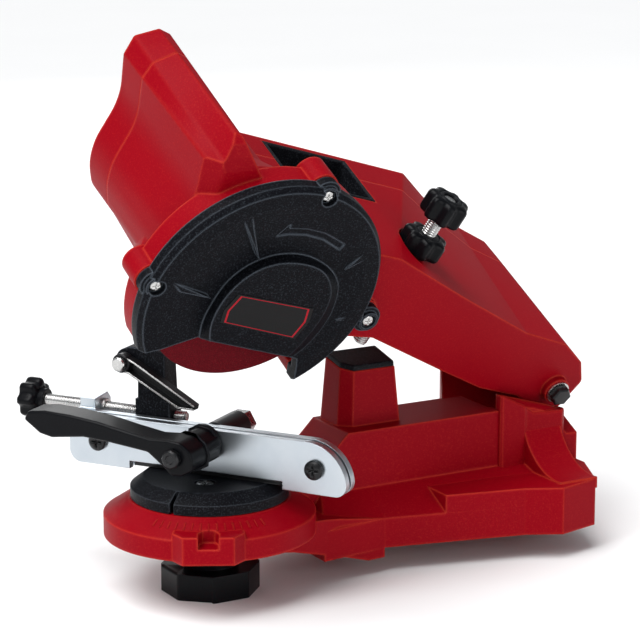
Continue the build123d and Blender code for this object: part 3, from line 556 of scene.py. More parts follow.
@dataclass(frozen=True)
class MotorPart:
    """Plain working material inside the housing: magnet, copper, board or rubber."""

    name: str
    colour: Triple
    second: Triple
    roughness: float
    metallic: float = 0.0
    scale: float = 400.0

    def make(self) -> Material:
        """Build the material.

        Returns:
            The material.
        """
        recipe = Recipe(self.name)
        normal, edge = recipe.edges(0.3)
        fleck = recipe.noise(self.scale, 4.0)
        colour = recipe.mix(fleck * 1.5 - 0.25, self.second, self.colour)
        rough = (fleck - 0.5) * 0.2 - edge * 0.05 + self.roughness
        return recipe.finish(colour, rough, fleck, 0.02, normal, metallic=self.metallic)


class Finishes:
    """Every finish of the sharpener, made once and shared by its pieces."""

    def __init__(self) -> None:
        """Make the materials."""
        # Each plastic's lighter second colour is both its painted edge highlight and its grain speckle.
        self.red = MouldedPlastic(
            "red_plastic", (0.285, 0.0, 0.0065), highlight_and_speckle=(0.88, 0.08, 0.04), roughness=0.42,
            grain=0.09, soften=2.0, gloss=0.055, speckle=0.12, edge_highlight=0.55,
        ).make()
        self.black = MouldedPlastic(
            "black_plastic", (0.0042, 0.0045, 0.0062), highlight_and_speckle=(0.14, 0.16, 0.19), roughness=0.42,
            grain=0.12, soften=0.9, gloss=0.07, speckle=0.22,
        ).make()
        self.guard = MouldedPlastic(
            "guard_plastic", (0.0036, 0.0039, 0.0056), highlight_and_speckle=(0.17, 0.20, 0.24), roughness=0.40,
            grain=0.12, soften=1.4, gloss=0.045, speckle=0.14, edge_highlight=0.7,
        ).make()
        self.glossy = MouldedPlastic(
            "knob_plastic", (0.0032, 0.0034, 0.0045), highlight_and_speckle=(0.045, 0.05, 0.06), roughness=0.28,
            grain=0.03, soften=0.8, gloss=0.10, speckle=0.06,
        ).make()
        self.label = MouldedPlastic(
            "label", (0.0015, 0.0015, 0.002), highlight_and_speckle=(0.02, 0.02, 0.022), roughness=0.2,
            grain=0.004, soften=0.1, gloss=0.15,
        ).make()
        self.border = MouldedPlastic(
            "label_border", (0.40, 0.0, 0.01), highlight_and_speckle=(0.5, 0.01, 0.02), roughness=0.28,
            grain=0.004, soften=0.1, gloss=0.15,
        ).make()
        self.plate = PlatedSteel(
            "zinc_steel", (0.60, 0.645, 0.68), cast=(0.47, 0.52, 0.57), roughness=0.33
        ).make()
        # Bright zinc carries strong painted shade in its hollows, such as the thread grooves.
        self.zinc = PlatedSteel(
            "bright_zinc", (0.60, 0.60, 0.59), cast=(0.50, 0.495, 0.49), roughness=0.27, hollow_shade=14.0
        ).make()
        self.oxide = PlatedSteel(
            "black_steel", (0.012, 0.0125, 0.014), cast=(0.006, 0.006, 0.007), roughness=0.36,
            metallic=0.4,
        ).make()
        self.brass = PlatedSteel("brass", (0.72, 0.52, 0.2), cast=(0.5, 0.34, 0.12), roughness=0.28).make()
        self.steel = PlatedSteel(
            "motor_steel", (0.55, 0.56, 0.58), cast=(0.4, 0.41, 0.43), roughness=0.35
        ).make()
        self.grit = BondedAbrasive(
            "wheel_abrasive", (0.125, 0.002, 0.007), pit_shade=(0.05, 0.001, 0.003), painted_glint=(0.26, 0.03, 0.03)
        ).make()
        self.magnet = MotorPart("magnet", (0.10, 0.10, 0.105), (0.05, 0.05, 0.055), 0.6).make()
        self.copper = MotorPart("copper", (0.72, 0.35, 0.18), (0.45, 0.16, 0.07), 0.35, 1.0).make()
        self.rubber = MotorPart("rubber", (0.025, 0.025, 0.027), (0.015, 0.015, 0.016), 0.75).make()
        self.board = MotorPart("board", (0.03, 0.18, 0.08), (0.02, 0.10, 0.05), 0.4).make()


# --- forms
def cast(form: BMesh, name: str) -> Mesh:
    """Turn a finished form into a mesh.

    Args:
        form: The form, which is used up.
        name: Name of the mesh.

    Returns:
        The mesh.
    """
    mesh = bpy.data.meshes.new(name)
    form.to_mesh(mesh)
    form.free()
    return mesh


def skin(
    rings: list[list[Triple]],
    name: str,
    capped: bool = True,
    second: Callable[[int, int], bool] = lambda ring, step: False,
) -> Mesh:
    """Skin a row of closed rings.

    Args:
        rings: Rings of equally many points, in millimetres.
        name: Name of the mesh.
        capped: Whether the first and the last ring are filled.
        second: Tells, by ring and step, which faces have the mesh's second finish.

    Returns:
        The mesh, its faces outward.
    """
    form = bmesh.new()
    loops = [[form.verts.new([part * MM for part in point]) for point in ring] for ring in rings]
    for number, (lower, upper) in enumerate(zip(loops, loops[1:])):
        for step in range(len(lower)):
            ahead = (step + 1) % len(lower)
            face = form.faces.new((lower[step], lower[ahead], upper[ahead], upper[step]))
            face.material_index = int(second(number, step))
    if capped:
        form.faces.new(loops[0])
        form.faces.new(loops[-1])
    bmesh.ops.remove_doubles(form, verts=form.verts, dist=MERGE)
    bmesh.ops.triangulate(form, faces=[face for face in form.faces if len(face.verts) > 4])
    bmesh.ops.recalc_face_normals(form, faces=form.faces)
    return cast(form, name)


def turned(
    profile: Profile, around: int, seat: Seat | None = None, look: Material | None = None
) -> Mesh:
    """Turn a closed form about its axis.

    Args:
        profile: Radius and height of each step in millimetres, from the lower pole up.
        around: Faces round the axis.
        seat: Where it stands, or None to leave it at the origin.
        look: Its finish, or None to leave it bare.

    Returns:
        The mesh, its faces outward and its poles closed.
    """
    angles = [math.tau * step / around for step in range(around)]
    rings = [
        [(radius * math.cos(angle), radius * math.sin(angle), height) for angle in angles]
        for radius, height in profile
    ]
    mesh = skin(rings, "turned", capped=False)
    mesh.polygons.foreach_set("use_smooth", [True] * len(mesh.polygons))
    mesh.set_sharp_from_angle(angle=math.radians(35))
    if look is not None:
        mesh.materials.append(look)
    return mesh if seat is None else seat.carry(mesh)


def joined(*meshes: Mesh) -> Mesh:
    """Gather several meshes into one.

    Args:
        meshes: Meshes that have their finishes.

    Returns:
        The whole, its faces in the finishes they had.
    """
    form = bmesh.new()
    looks: list[Material] = []
    for mesh in meshes:
        first = len(form.faces)
        form.from_mesh(mesh)
        form.faces.ensure_lookup_table()
        for face in form.faces[first:]:
            look = mesh.materials[face.material_index]
            if look not in looks:
                looks.append(look)
            face.material_index = looks.index(look)
    whole = cast(form, "joined")
    for look in looks:
        whole.materials.append(look)
    return whole


def points(places: Places) -> Mesh:
    """Bare points in the plane of a seat, in millimetres."""
    mesh = bpy.data.meshes.new("points")
    mesh.from_pydata([(x * MM, y * MM, 0.0) for x, y in places], [], [])
    return mesh


def round_end(form: BMesh, radius: float, highest: float) -> None:
    """Round the corners of a jaw plate at its far end.

    Args:
        form: Form of the plate.
        radius: Radius of the corners in millimetres.
        highest: Corners above this height stay square.
    """
    corners = []
    for edge in form.edges:
        start, end = (vert.co for vert in edge.verts)
        at_end = all(abs(spot.dot(ALONG_JAW) / MM - JAW_END) < 0.3 for spot in (start, end))
        across = abs((end - start).normalized().dot(OUT_OF_JAW)) > 0.99
        if at_end and across and start.z / MM < highest:
            corners.append(edge)
    bmesh.ops.bevel(form, geom=corners, offset=radius * MM, segments=7, profile=0.5, affect="EDGES")


# --- growing trees
class CrossHeadTree(GrowthTree):
    """Pan heads with a cross recess and a short shank, one on each point."""

    def __init__(self) -> None:
        """Build the tree."""
        super().__init__("cross_head_screws")
        radius, height, shank, reach = map(self.size, ("Radius", "Height", "Shank", "Reach"))
        head = self.add(
            "GeometryNodeMeshCylinder",
            {"Vertices": 32, "Side Segments": 2, "Fill Segments": 8, "Radius": radius, "Depth": height},
        )
        x, y, z, out = self.place()
        out = out / radius
        dome = (out * out * out * -0.45 + 1.0) * height
        across, along = x.apply("ABSOLUTE"), y.apply("ABSOLUTE")
        narrow = across.apply("MINIMUM", along) / radius
        wide = across.apply("MAXIMUM", along) / radius
        cross = (narrow * -7.0 + 1.0).clamped() * ((wide * -1.0 + 0.66) * 7.0).clamped()
        top = z.apply("GREATER_THAN", height * 0.25)
        rise = dome - cross * height * 0.62
        lift = self.vector(x, y, top * rise + top.flipped() * (z + height * 0.5))
        shaped = self.add("GeometryNodeSetPosition", {0: head.outputs[0], "Position": lift})
        pin = self.add("GeometryNodeMeshCylinder", {"Vertices": 16, "Radius": shank, "Depth": reach})
        under = self.vector(0.0, 0.0, reach * -0.5)
        lowered = self.add("GeometryNodeTransform", {0: pin.outputs[0], "Translation": under})
        screw = self.add("GeometryNodeJoinGeometry", {0: shaped.outputs[0]})
        self.tree.links.new(lowered.outputs[0], screw.inputs[0])
        smooth = self.add("GeometryNodeSetShadeSmooth", {0: screw.outputs[0]})
        self.sow(self.enter.outputs[0], smooth)


class ThreadTree(GrowthTree):
    """Helical thread cut into a round blank that stands on the origin."""

    def __init__(self) -> None:
        """Build the tree."""
        super().__init__("screw_thread")
        pitch, depth, start, end = map(self.size, ("Pitch", "Depth", "Start", "End"))
        x, y, z, out = self.place()
        phase = z / pitch - y.apply("ARCTAN2", x) / math.tau
        groove = phase.apply("PINGPONG", 0.5) * 2.0
        inside = z.apply("GREATER_THAN", start) * z.apply("LESS_THAN", end)
        radius = out.apply("MAXIMUM", 1e-6)
        outer = radius.apply("GREATER_THAN", depth * 1.5)
        self.narrow((groove * depth * inside * outer / radius).flipped())


class LobeTree(GrowthTree):
    """Scooped finger grips cut round the rim of a turned knob."""

    def __init__(self) -> None:
        """Build the tree."""
        super().__init__("knob_lobes")
        lobes, scoop, radius = map(self.size, ("Lobes", "Scoop", "Radius"))
        x, y, _, out = self.place()
        wave = (y.apply("ARCTAN2", x) * lobes).apply("COSINE")
        dip = (wave * 0.62 + 0.38).clamped().apply("POWER", 0.7)
        rim = ((out / radius - 0.55) * 3.2).clamped()
        self.narrow((dip * scoop * rim).flipped())


class TickTree(GrowthTree):
    """Raised degree marks fanned round a vertical axis, every second one longer."""

    def __init__(self) -> None:
        """Build the tree."""
        super().__init__("degree_marks")
        count = self.size("Count", "Int")
        step, first, radius, height = map(self.size, ("Step", "First", "Radius", "Height"))
        slope, length, width = map(self.size, ("Slope", "Length", "Width"))
        box = self.add("GeometryNodeMeshCube", {"Size": self.vector(length, width, width * 0.7)})
        feeds = {
            0: box.outputs[0],
            "Translation": self.vector(radius, 0.0, height),
            "Rotation": self.vector(0.0, slope, 0.0),
        }
        stood = self.add("GeometryNodeTransform", feeds)
        number = Field(self.tree, self.add("GeometryNodeInputIndex", {}).outputs[0])
        spots = self.add("GeometryNodePoints", {"Count": count})
        long = (number / 2.0).apply("FRACT").apply("LESS_THAN", 0.25)
        turn = self.vector(0.0, 0.0, number * step + first)
        stretch = self.vector(1.0, long * 0.6 + 1.0, 1.0)
        self.sow(spots.outputs[0], stood, Rotation=turn, Scale=stretch)


@dataclass
class Shop:
    """What every sub-assembly is made with: the finishes, the trees and the common screws."""

    finish: Finishes = field(default_factory=Finishes)
    screws: CrossHeadTree = field(default_factory=CrossHeadTree)
    thread: ThreadTree = field(default_factory=ThreadTree)
    lobes: LobeTree = field(default_factory=LobeTree)
    ticks: TickTree = field(default_factory=TickTree)
    screw_shank: float = 1.9
    screw_reach: float = 8.0
    bar_chamfer: float = 0.6
    bar_faces: int = 24
    bar_rows: int = 4
    groove: float = 0.62
    knob_lobes: float = 7.0
    knob_scoop: float = 0.19
    knob_faces: int = 84
    knob_foot: Places = ((0.62, 0.0), (0.86, 0.2), (0.94, 0.7), (0.985, 1.5), (1.0, 2.6))
    knob_crown: Places = (
        (1.0, 3.2), (0.985, 2.2), (0.94, 1.3), (0.86, 0.7), (0.72, 0.35), (0.62, 0.2),
        (0.58, 0.9), (0.52, 0.9), (0.48, 0.1),
    )

    def cross_heads(
        self, places: Places, seat: Seat, radius: float, height: float, look: Material
    ) -> Mesh:
        """Screws with a cross recess.

        Args:
            places: Places of the screws in the plane of the seat.
            seat: Plane of the head's underside.
            radius: Radius of the head.
            height: Height of the head.
            look: Finish of the screws.

        Returns:
            One mesh of all of them.
        """
        return seat.carry(self.screws.grow(
            points(places), look, Radius=radius * MM, Height=height * MM,
            Shank=self.screw_shank * MM, Reach=self.screw_reach * MM,
        ))

    def threaded(
        self, radius: float, length: float, pitch: float, seat: Seat, look: Material,
        end: float = 1000.0,
    ) -> Mesh:
        """A round bar with a thread from its foot up to a height.

        Args:
            radius: Outer radius of the bar.
            length: Its length.
            pitch: Rise of the thread at each turn.
            seat: Foot of the bar.
            look: Its finish.
            end: Height at which the thread ends.

        Returns:
            The mesh.
        """
        rows = max(2, int(length / pitch * self.bar_rows))
        low, rise = self.bar_chamfer, length - 2 * self.bar_chamfer
        side = [(radius, low + rise * row / rows) for row in range(rows + 1)]
        inner = radius - self.bar_chamfer
        blank = turned([(0, 0), (inner, 0)] + side + [(inner, length), (0, length)], self.bar_faces)
        return seat.carry(self.thread.grow(
            blank, look, Pitch=pitch * MM, Depth=self.groove * pitch * MM, Start=0.0, End=end * MM
        ))

    def hand_knob(self, radius: float, thickness: float, hole: float, seat: Seat) -> Mesh:
        """A lobed hand knob with a domed top and a raised hub.

        Args:
            radius: Radius over the lobes.
            thickness: Height of the knob.
            hole: Radius of its hole.
            seat: Plane of its underside.

        Returns:
            The mesh.
        """
        profile = [
            (hole, 0.3), (hole + 0.3, 0.0),
            *((radius * share, up) for share, up in self.knob_foot),
            (radius, thickness * 0.5),
            *((radius * share, thickness - down) for share, down in self.knob_crown),
            (hole + 1.0, thickness), (hole + 0.3, thickness), (hole, thickness - 0.3), (hole, 0.3),
        ]
        return seat.carry(self.lobes.grow(
            turned(profile, self.knob_faces), self.finish.glossy, Lobes=self.knob_lobes,
            Scoop=self.knob_scoop, Radius=radius * MM,
        ))


# --- sub-assemblies
@dataclass
class SubAssembly:
    """A group of pieces that are made and dressed together."""

    shop: Shop
    made: list[str] = field(default_factory=list, init=False)

    def build(self) -> None:
        """Build and dress the pieces."""
        raise NotImplementedError

    def set_down(
        self, name: str, mesh: Mesh, look: Material, body: Body, slot: Slot, *nodes: str
    ) -> Object:
        """Make an object of a finished mesh that rides on its body.

        Args:
            name: Name of the piece.
            mesh: Its mesh, already in place.
            look: Its finish, where the mesh has none yet.
            body: Body it moves with.
            slot: Material slot of the record; not used.
            nodes: CAD nodes it stands for.

        Returns:
            The object.
        """
        if not mesh.materials:
            mesh.materials.append(look)
        piece = stand(name, mesh)
        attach(piece, body.value)
        if nodes:
            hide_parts(*nodes)
        self.made.append(name)
        return piece

    def dress(self, look: Material, *nodes: str) -> None:
        """Give CAD nodes a finish through their material slots.

        Args:
            look: The finish.
            nodes: Names of the nodes.
        """
        for node in nodes:
            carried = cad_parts[node]
            if not carried.material_slots:
                carried.data.materials.append(look)
            for place in carried.material_slots:
                place.material = look
        self.made.extend(nodes)

    def soften(
        self, node: str, width: float, look: Material, body: Body, slot: Slot,
        corner: float = 20.0, steps: int = 2, end: tuple[float, float] | None = None,
    ) -> None:
        """Replace a CAD node by a copy with rounded edges.

        Args:
            node: Name of the CAD node.
            width: Width of the rounding in millimetres.
            look: Finish of the piece.
            body: Body it moves with.
            slot: Material slot of the record.
            corner: Smallest angle that counts as an edge, in degrees.
            steps: Faces across each rounding.
            end: Radius and greatest height of a jaw's rounded end corners.
        """
        form = bmesh.new()
        form.from_mesh(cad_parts[node].data)
        bmesh.ops.remove_doubles(form, verts=form.verts, dist=CAD_MERGE)
        bmesh.ops.dissolve_limit(form, angle_limit=FLAT, verts=form.verts, edges=form.edges, delimit=set())
        if end is not None:
            round_end(form, *end)
        weight = form.edges.layers.float.new("bevel_weight_edge")
        for edge in form.edges:
            if len(edge.link_faces) == 2 and edge.calc_length() > SHORTEST * MM:
                wide = min(face.calc_area() for face in edge.link_faces) > SHORTEST * MM * MM
                edge[weight] = float(wide and edge.calc_face_angle(0.0) > math.radians(corner))
        for face in form.faces:
            face.smooth = True
            face.material_index = 0
        mesh = cast(form, f"{node}_soft")
        mesh.set_sharp_from_angle(angle=math.radians(11.0))
        piece = self.set_down(f"{node}_soft", mesh, look, body, slot, node)
        rounding = piece.modifiers.new("Rounding", "BEVEL")
        rounding.width = width * MM
        rounding.segments = steps
        rounding.limit_method = "WEIGHT"
        rounding.use_clamp_overlap = False
        rounding.harden_normals = True


@dataclass
class Base(SubAssembly):
    """Moulded base: seat of the vise, spine, stop pillar and pivot."""

    pad_rounding: float = 0.8
    pivot_place: tuple[float, float] = (206.0, -5.0)
    bolt_face: float = 7.2
    bolt_length: float = 103.0
    bolt_flats: float = 10.0
    neck_foot: float = 26.5
    neck_back: float = -3.5
    neck_top: tuple[Triple, ...] = (
        (166.9, -3.5, 66.6), (166.9, -8.0, 66.6), (168.2, -9.0, 66.4), (182.0, -9.0, 59.4),
        (183.4, -8.3, 58.0), (188.0, -8.3, 55.0), (196.0, -8.3, 54.4), (206.0, -8.3, 54.0),
        (208.5, -6.4, 54.0), (208.5, -3.5, 54.0),
    )
    neck_edge: Places = ((0.0, 1.2), (0.4, 0.3), (1.2, 0.0))
    seat_cone: Places = ((53.0, 27.5), (40.5, 35.7))
    mark_count: int = 15
    mark_step: float = 5.0
    first_mark: float = -152.6
    mark_place: tuple[float, float] = (45.4, 32.55)
    mark_size: tuple[float, float] = (4.6, 0.55)

    def build(self) -> None:
        """Build and dress the base."""
        looks = self.shop.finish
        self.dress(looks.red, "base_shell")
        self.soften("stop_pad", self.pad_rounding, looks.black, Body.BASE, Slot.BLACK)
        self.neck()
        self.marks()
        self.pivot()
        self.dress(looks.brass, "mount_inserts", "spindle_bush", "pivot_bushes")
        self.dress(looks.zinc, "return_spring")

    def neck(self) -> None:
        """Near wall of the neck, carried up over the scoop to just under the arm."""
        rings = [[(x, y, self.neck_foot) for x, y, _ in self.neck_top]]
        for inset, drop in self.neck_edge:
            rings.append([(x, min(y + inset, self.neck_back), top - drop) for x, y, top in self.neck_top])
        mesh = skin(rings, "neck")
        self.set_down("neck_wall", mesh, self.shop.finish.red, Body.BASE, Slot.RED)

    def marks(self) -> None:
        """Raised degree marks on the cone of the seat."""
        (foot, low), (brow, high) = self.seat_cone
        radius, height = self.mark_place
        length, width = self.mark_size
        look = self.shop.finish.red
        mesh = self.shop.ticks.grow(
            points(((0, 0),)), look, Count=self.mark_count, Step=math.radians(self.mark_step),
            First=math.radians(self.first_mark), Radius=radius * MM, Height=height * MM,
            Slope=math.atan2(high - low, foot - brow), Length=length * MM, Width=width * MM,
        )
        self.set_down("seat_marks", mesh, look, Body.BASE, Slot.RED)

    def pivot(self) -> None:
        """Hexagon bolt, washers and nut of the arm pivot."""
        looks = self.shop.finish
        flat = self.bolt_flats / 2 / math.cos(math.pi / 6)
        head = [(0, 0), (flat - 0.3, 0), (flat, 0.5), (flat, 3.7), (flat - 0.7, 4.5), (3.6, 4.6), (0, 4.6)]
        bolt = turned(head, 6, on_arm(*self.pivot_place, self.bolt_face), looks.oxide)
        foot = on_arm(*self.pivot_place, self.bolt_face - self.bolt_length)
        shank = self.shop.threaded(3.0, self.bolt_length, 1.0, foot, looks.oxide, 12)
        self.set_down(
            "pivot_bolt_head", joined(bolt, shank), looks.oxide, Body.BASE, Slot.OXIDE, "pivot_bolt"
        )
        self.soften("pivot_washers", 0.25, looks.zinc, Body.BASE, Slot.ZINC)
        self.soften("pivot_nut", 0.35, looks.zinc, Body.BASE, Slot.ZINC)


@dataclass
class Turntable(SubAssembly):
    """Swivelling disc of the vise with its clamping bolt and hand knob."""

    disc_rounding: float = 0.6
    knob_rounding: float = 1.6
    stud_length: float = 45.9

    def build(self) -> None:
        """Build and dress the turntable."""
        looks = self.shop.finish
        body = Body.TURNTABLE
        self.soften("turntable_disc", self.disc_rounding, looks.black, body, Slot.BLACK)
        self.soften("lock_knob", self.knob_rounding, looks.glossy, Body.LOCK_KNOB, Slot.BLACK, steps=3)
        self.soften("jaw_carrier", 0.5, looks.oxide, body, Slot.OXIDE)
        self.dress(looks.zinc, "lock_washer")
        stud = self.shop.threaded(4.0, self.stud_length, 1.25, on_level(0, 0, -2), looks.zinc, 30)
        self.set_down("swivel_stud", stud, looks.zinc, body, Slot.ZINC, "turntable_bolt")
        seat = on_level(-8.5, -11.9, 44, -20)
        screw = self.shop.cross_heads(((0, 0),), seat, 4.6, 2.2, looks.zinc)
        self.set_down("disc_screw", screw, looks.zinc, body, Slot.ZINC, "turntable_screw")


@dataclass
class Jaws(SubAssembly):
    """Clamping jaws of the saw chain with their guide screws, spindle and lever."""

    guides: Places = ((-60.5, 57.0), (60.5, 57.0))
    plate_rounding: float = 0.5
    end_radius: float = 7.0
    lever_rounding: float = 1.4

    def build(self) -> None:
        """Build and dress the jaws."""
        looks = self.shop.finish
        body = Body.TURNTABLE
        for node, rides, highest in (
            ("jaw_fixed", body, 50.0), ("jaw_moving", Body.MOVING_JAW, 75.0)
        ):
            end = (self.end_radius, highest)
            self.soften(node, self.plate_rounding, looks.plate, rides, Slot.PLATE, 25, end=end)
        heads = self.shop.cross_heads(self.guides, on_jaw(0, 0, 5.1), 4.9, 3.0, looks.oxide)
        self.set_down("guide_heads", heads, looks.oxide, body, Slot.OXIDE, "guide_screws")
        self.soften("guide_nuts", 0.3, looks.zinc, body, Slot.ZINC)
        self.dress(looks.steel, "jaw_springs")
        spindle = self.shop.threaded(4.0, 75, 1.25, on_jaw(*CLAMP_AXIS, -37), looks.zinc, 16)
        self.set_down("clamp_stud", spindle, looks.zinc, body, Slot.ZINC, "clamp_spindle")
        self.soften("clamp_nut", 0.5, looks.zinc, body, Slot.ZINC)
        self.lever()

    def lever(self) -> None:
        """Clamping lever and the faceted cap over its nut."""
        looks = self.shop.finish
        self.soften("clamp_lever", self.lever_rounding, looks.glossy, Body.LEVER, Slot.BLACK, steps=3)
        cap = [(0, 0.1), (4.2, 0.1), (4.8, 0.6), (4.8, 2.9), (4.1, 3.7), (2.4, 3.9), (2.0, 3.3), (0, 3.3)]
        mesh = turned(cap, 8, on_jaw(*CLAMP_AXIS, 38.0))
        self.set_down("lever_cap_faceted", mesh, looks.oxide, Body.LEVER, Slot.OXIDE, "lever_cap")


@dataclass
class ChainStop(SubAssembly):
    """Adjustable stop that holds the chain tooth: feed screw, knob, post and finger."""

    knob_radius: float = 10.5
    knob_height: float = 10.0
    pitch: float = 1.0
    screw_length: float = 92.0
    sheet: float = 0.9
    pin_place: tuple[float, float] = (-50.0, 97.0)
    finger_line: tuple[Triple, ...] = (
        (-50.0, 97.0, 4.1), (-44.0, 95.2, 3.7), (-16.5, 80.4, 3.3), (-8.6, 78.4, 1.2),
    )
    finger_depths: Triple = (-5.5, -4.6, -0.3)

    def build(self) -> None:
        """Build and dress the chain stop."""
        looks = self.shop.finish
        screw = self.shop.threaded(3.0, self.screw_length, self.pitch, on_rail(-112), looks.zinc)
        ring = [(3, 0), (4.2, 0), (4.4, 0.2), (4.4, 1.6), (4.2, 1.8), (3, 1.8)]
        collar = turned(ring, 32, on_rail(-67.9), looks.zinc)
        self.set_down(
            "feed_screw", joined(screw, collar), looks.zinc, Body.ADJUSTER, Slot.ZINC, "adjuster_screw"
        )
        knob = self.shop.hand_knob(self.knob_radius, self.knob_height, 2.9, on_rail(-115))
        sleeve = [(2.9, 0), (5.5, 0), (5.5, 2.7), (5.2, 3.0), (2.9, 3.0)]
        hub = turned(sleeve, 40, on_rail(-105), looks.glossy)
        self.set_down(
            "feed_knob", joined(knob, hub), looks.glossy, Body.ADJUSTER, Slot.BLACK, "adjuster_knob"
        )
        self.soften("stop_slider", 0.6, looks.black, Body.SLIDER, Slot.BLACK)
        pin = [(0, -18.5), (2.48, -18.5), (2.48, 0), (3.5, 0), (3.6, 0.2), (3.6, 1.9), (3.0, 2.5), (0, 2.5)]
        mesh = turned(pin, 32, on_jaw(*self.pin_place, 0.5))
        self.set_down("finger_pin", mesh, looks.zinc, Body.SLIDER, Slot.ZINC, "pawl_pin")
        self.finger()

    def finger(self) -> None:
        """Folded stop finger: a dark web between two bright-edged flanges, tip turned down."""
        looks = self.shop.finish
        back, web, front = self.finger_depths
        line = [Vector(place[:2]) for place in self.finger_line]
        rings = []
        for number, (middle, (_, _, half)) in enumerate(zip(line, self.finger_line)):
            run = (line[min(len(line) - 1, number + 1)] - line[max(0, number - 1)]).normalized()
            side = Vector((-run.y, run.x)) * half
            lip = Vector((-run.y, run.x)) * (half - self.sheet)
            section = (
                (middle - side, back), (middle - side, front), (middle - lip, front),
                (middle - lip, web), (middle + lip, web), (middle + lip, front),
                (middle + side, front), (middle + side, back),
            )
            rings.append([(*at, out) for at, out in section])
        channel = on_jaw(0, 0, 0).carry(skin(rings, "channel", second=lambda _, step: step in (1, 5)))
        channel.materials.append(looks.oxide)
        channel.materials.append(looks.zinc)
        loop = [(2.55, -5.5), (4.6, -5.5), (4.9, -5.2), (4.9, -0.5), (4.6, -0.2), (2.55, -0.2), (2.55, -5.5)]
        eye = turned(loop, 36, on_jaw(*self.pin_place, 0), looks.oxide)
        self.set_down(
            "folded_finger", joined(channel, eye), looks.oxide, Body.PAWL, Slot.OXIDE, "stop_pawl"
        )


@dataclass
class Arm(SubAssembly):
    """Two mouldings of the swinging arm with the grip recess and the switch."""

    screws: Places = ((44, 66), (120, 38), (118, 62), (150, 30), (172, 18), (-20, 150))
    cheek: float = -86.0

    def build(self) -> None:
        """Build and dress the arm."""
        looks = self.shop.finish
        self.dress(looks.red, "arm_housing", "arm_cover")
        places = tuple((s, -v) for s, v in self.screws)
        heads = self.shop.cross_heads(places, on_arm(0, 0, self.cheek, -1.0), 3.9, 2.2, looks.zinc)
        self.set_down("cover_heads", heads, looks.zinc, Body.ARM, Slot.ZINC, "cover_screws")
        self.soften("recess_tray", 0.8, looks.black, Body.ARM, Slot.BLACK)
        self.soften("switch_rocker", 0.8, looks.glossy, Body.ROCKER, Slot.BLACK)
        self.soften("switch_body", 0.4, looks.black, Body.ARM, Slot.BLACK)
        self.dress(looks.rubber, "cable_gland")
        self.dress(looks.board, "circuit_board")
        self.dress(looks.brass, "depth_nut_insert")


@dataclass
class Guard(SubAssembly):
    """Dished wheel guard with its screws and blank label plate."""

    screws: Places = ((-55, 104), (25, 146), (68, 66))
    face: float = 9.2
    label: Places = ((-13.2, 97.8), (30.4, 83.2), (30.2, 74.6), (24.8, 65), (-19.4, 81.5), (-19, 89))
    label_depth: float = 15.4
    label_reach: float = 10.5
    label_steps: Places = ((0.0, 0.0), (0.0, 0.22), (0.12, 0.3), (0.9, 0.3), (1.35, 0.3))

    def build(self) -> None:
        """Build and dress the guard."""
        looks = self.shop.finish
        self.dress(looks.guard, "wheel_guard")
        heads = self.shop.cross_heads(self.screws, on_arm(0, 0, self.face), 3.1, 1.9, looks.zinc)
        self.set_down("guard_heads", heads, looks.zinc, Body.ARM, Slot.ZINC, "guard_screws")
        self.plate()

    def plate(self) -> None:
        """Blank plate with a thin coloured border round its face."""
        looks = self.shop.finish
        corners = [Vector(corner) for corner in self.label]
        middle = sum(corners, Vector((0, 0))) / len(corners)
        rings = []
        for inset, height in self.label_steps:
            share = 1.0 - inset / self.label_reach
            rings.append([(*(middle + (corner - middle) * share), height) for corner in corners])
        mesh = skin(rings, "label", second=lambda ring, _: ring == 3)
        on_arm(0, 0, self.label_depth).carry(mesh)
        mesh.materials.append(looks.label)
        mesh.materials.append(looks.border)
        self.set_down("blank_label", mesh, looks.label, Body.ARM, Slot.LABEL, "label_plate")


@dataclass
class GrindingHead(SubAssembly):
    """Grinding wheel, flanges and the motor behind them."""

    wheel_place: tuple[float, float] = (3.0, 90.0)
    wheel_radius: float = 54.0
    half_width: float = 1.6
    bore: float = 11.5

    def build(self) -> None:
        """Build and dress the grinding head."""
        looks = self.shop.finish
        edge, wide, half = self.wheel_radius - 0.5, self.wheel_radius, self.half_width
        rim = [(self.bore, -half), (edge, -half), (wide, 0.5 - half), (wide, half - 0.5), (edge, half),
               (self.bore, half), (self.bore, -half)]
        mesh = turned(rim, 128, on_arm(*self.wheel_place, 0))
        self.set_down("wheel", mesh, looks.grit, Body.SPINDLE, Slot.GRIT, "grinding_wheel")
        self.dress(
            looks.steel, "motor_can", "motor_shaft", "armature", "inner_flange", "outer_flange",
            "bearing_front", "bearing_rear",
        )
        self.dress(looks.zinc, "spindle_nut")
        self.dress(looks.magnet, "motor_magnets")
        self.dress(looks.black, "motor_end_cap", "brush_holders")
        self.dress(looks.copper, "commutator")


@dataclass
class DepthStop(SubAssembly):
    """Screw that sets how far the wheel dips, with its lock nut and hand knob."""

    length: float = 91.0
    pitch: float = 1.25
    hole: float = 4.05
    nut_height: float = 58.3
    knob_height: float = 79.0

    def build(self) -> None:
        """Build and dress the depth stop."""
        looks = self.shop.finish
        rod = self.shop.threaded(4.0, self.length, self.pitch, on_rod(0), looks.zinc)
        self.set_down("depth_thread", rod, looks.zinc, Body.DEPTH_ROD, Slot.ZINC, "depth_screw")
        nut = self.shop.hand_knob(12.0, 11.5, self.hole, on_rod(self.nut_height))
        self.set_down("lock_nut_lobed", nut, looks.glossy, Body.LOCK_NUT, Slot.BLACK, "lock_nut")
        knob = self.shop.hand_knob(11.5, 13.0, self.hole, on_rod(self.knob_height))
        self.set_down("depth_knob_lobed", knob, looks.glossy, Body.DEPTH_KNOB, Slot.BLACK, "depth_knob")


# --- studio
@dataclass(frozen=True)
class Lamp:
    """A soft square lamp, aimed at the sharpener."""

    name: str
    place: Triple
    size: float
    power: float


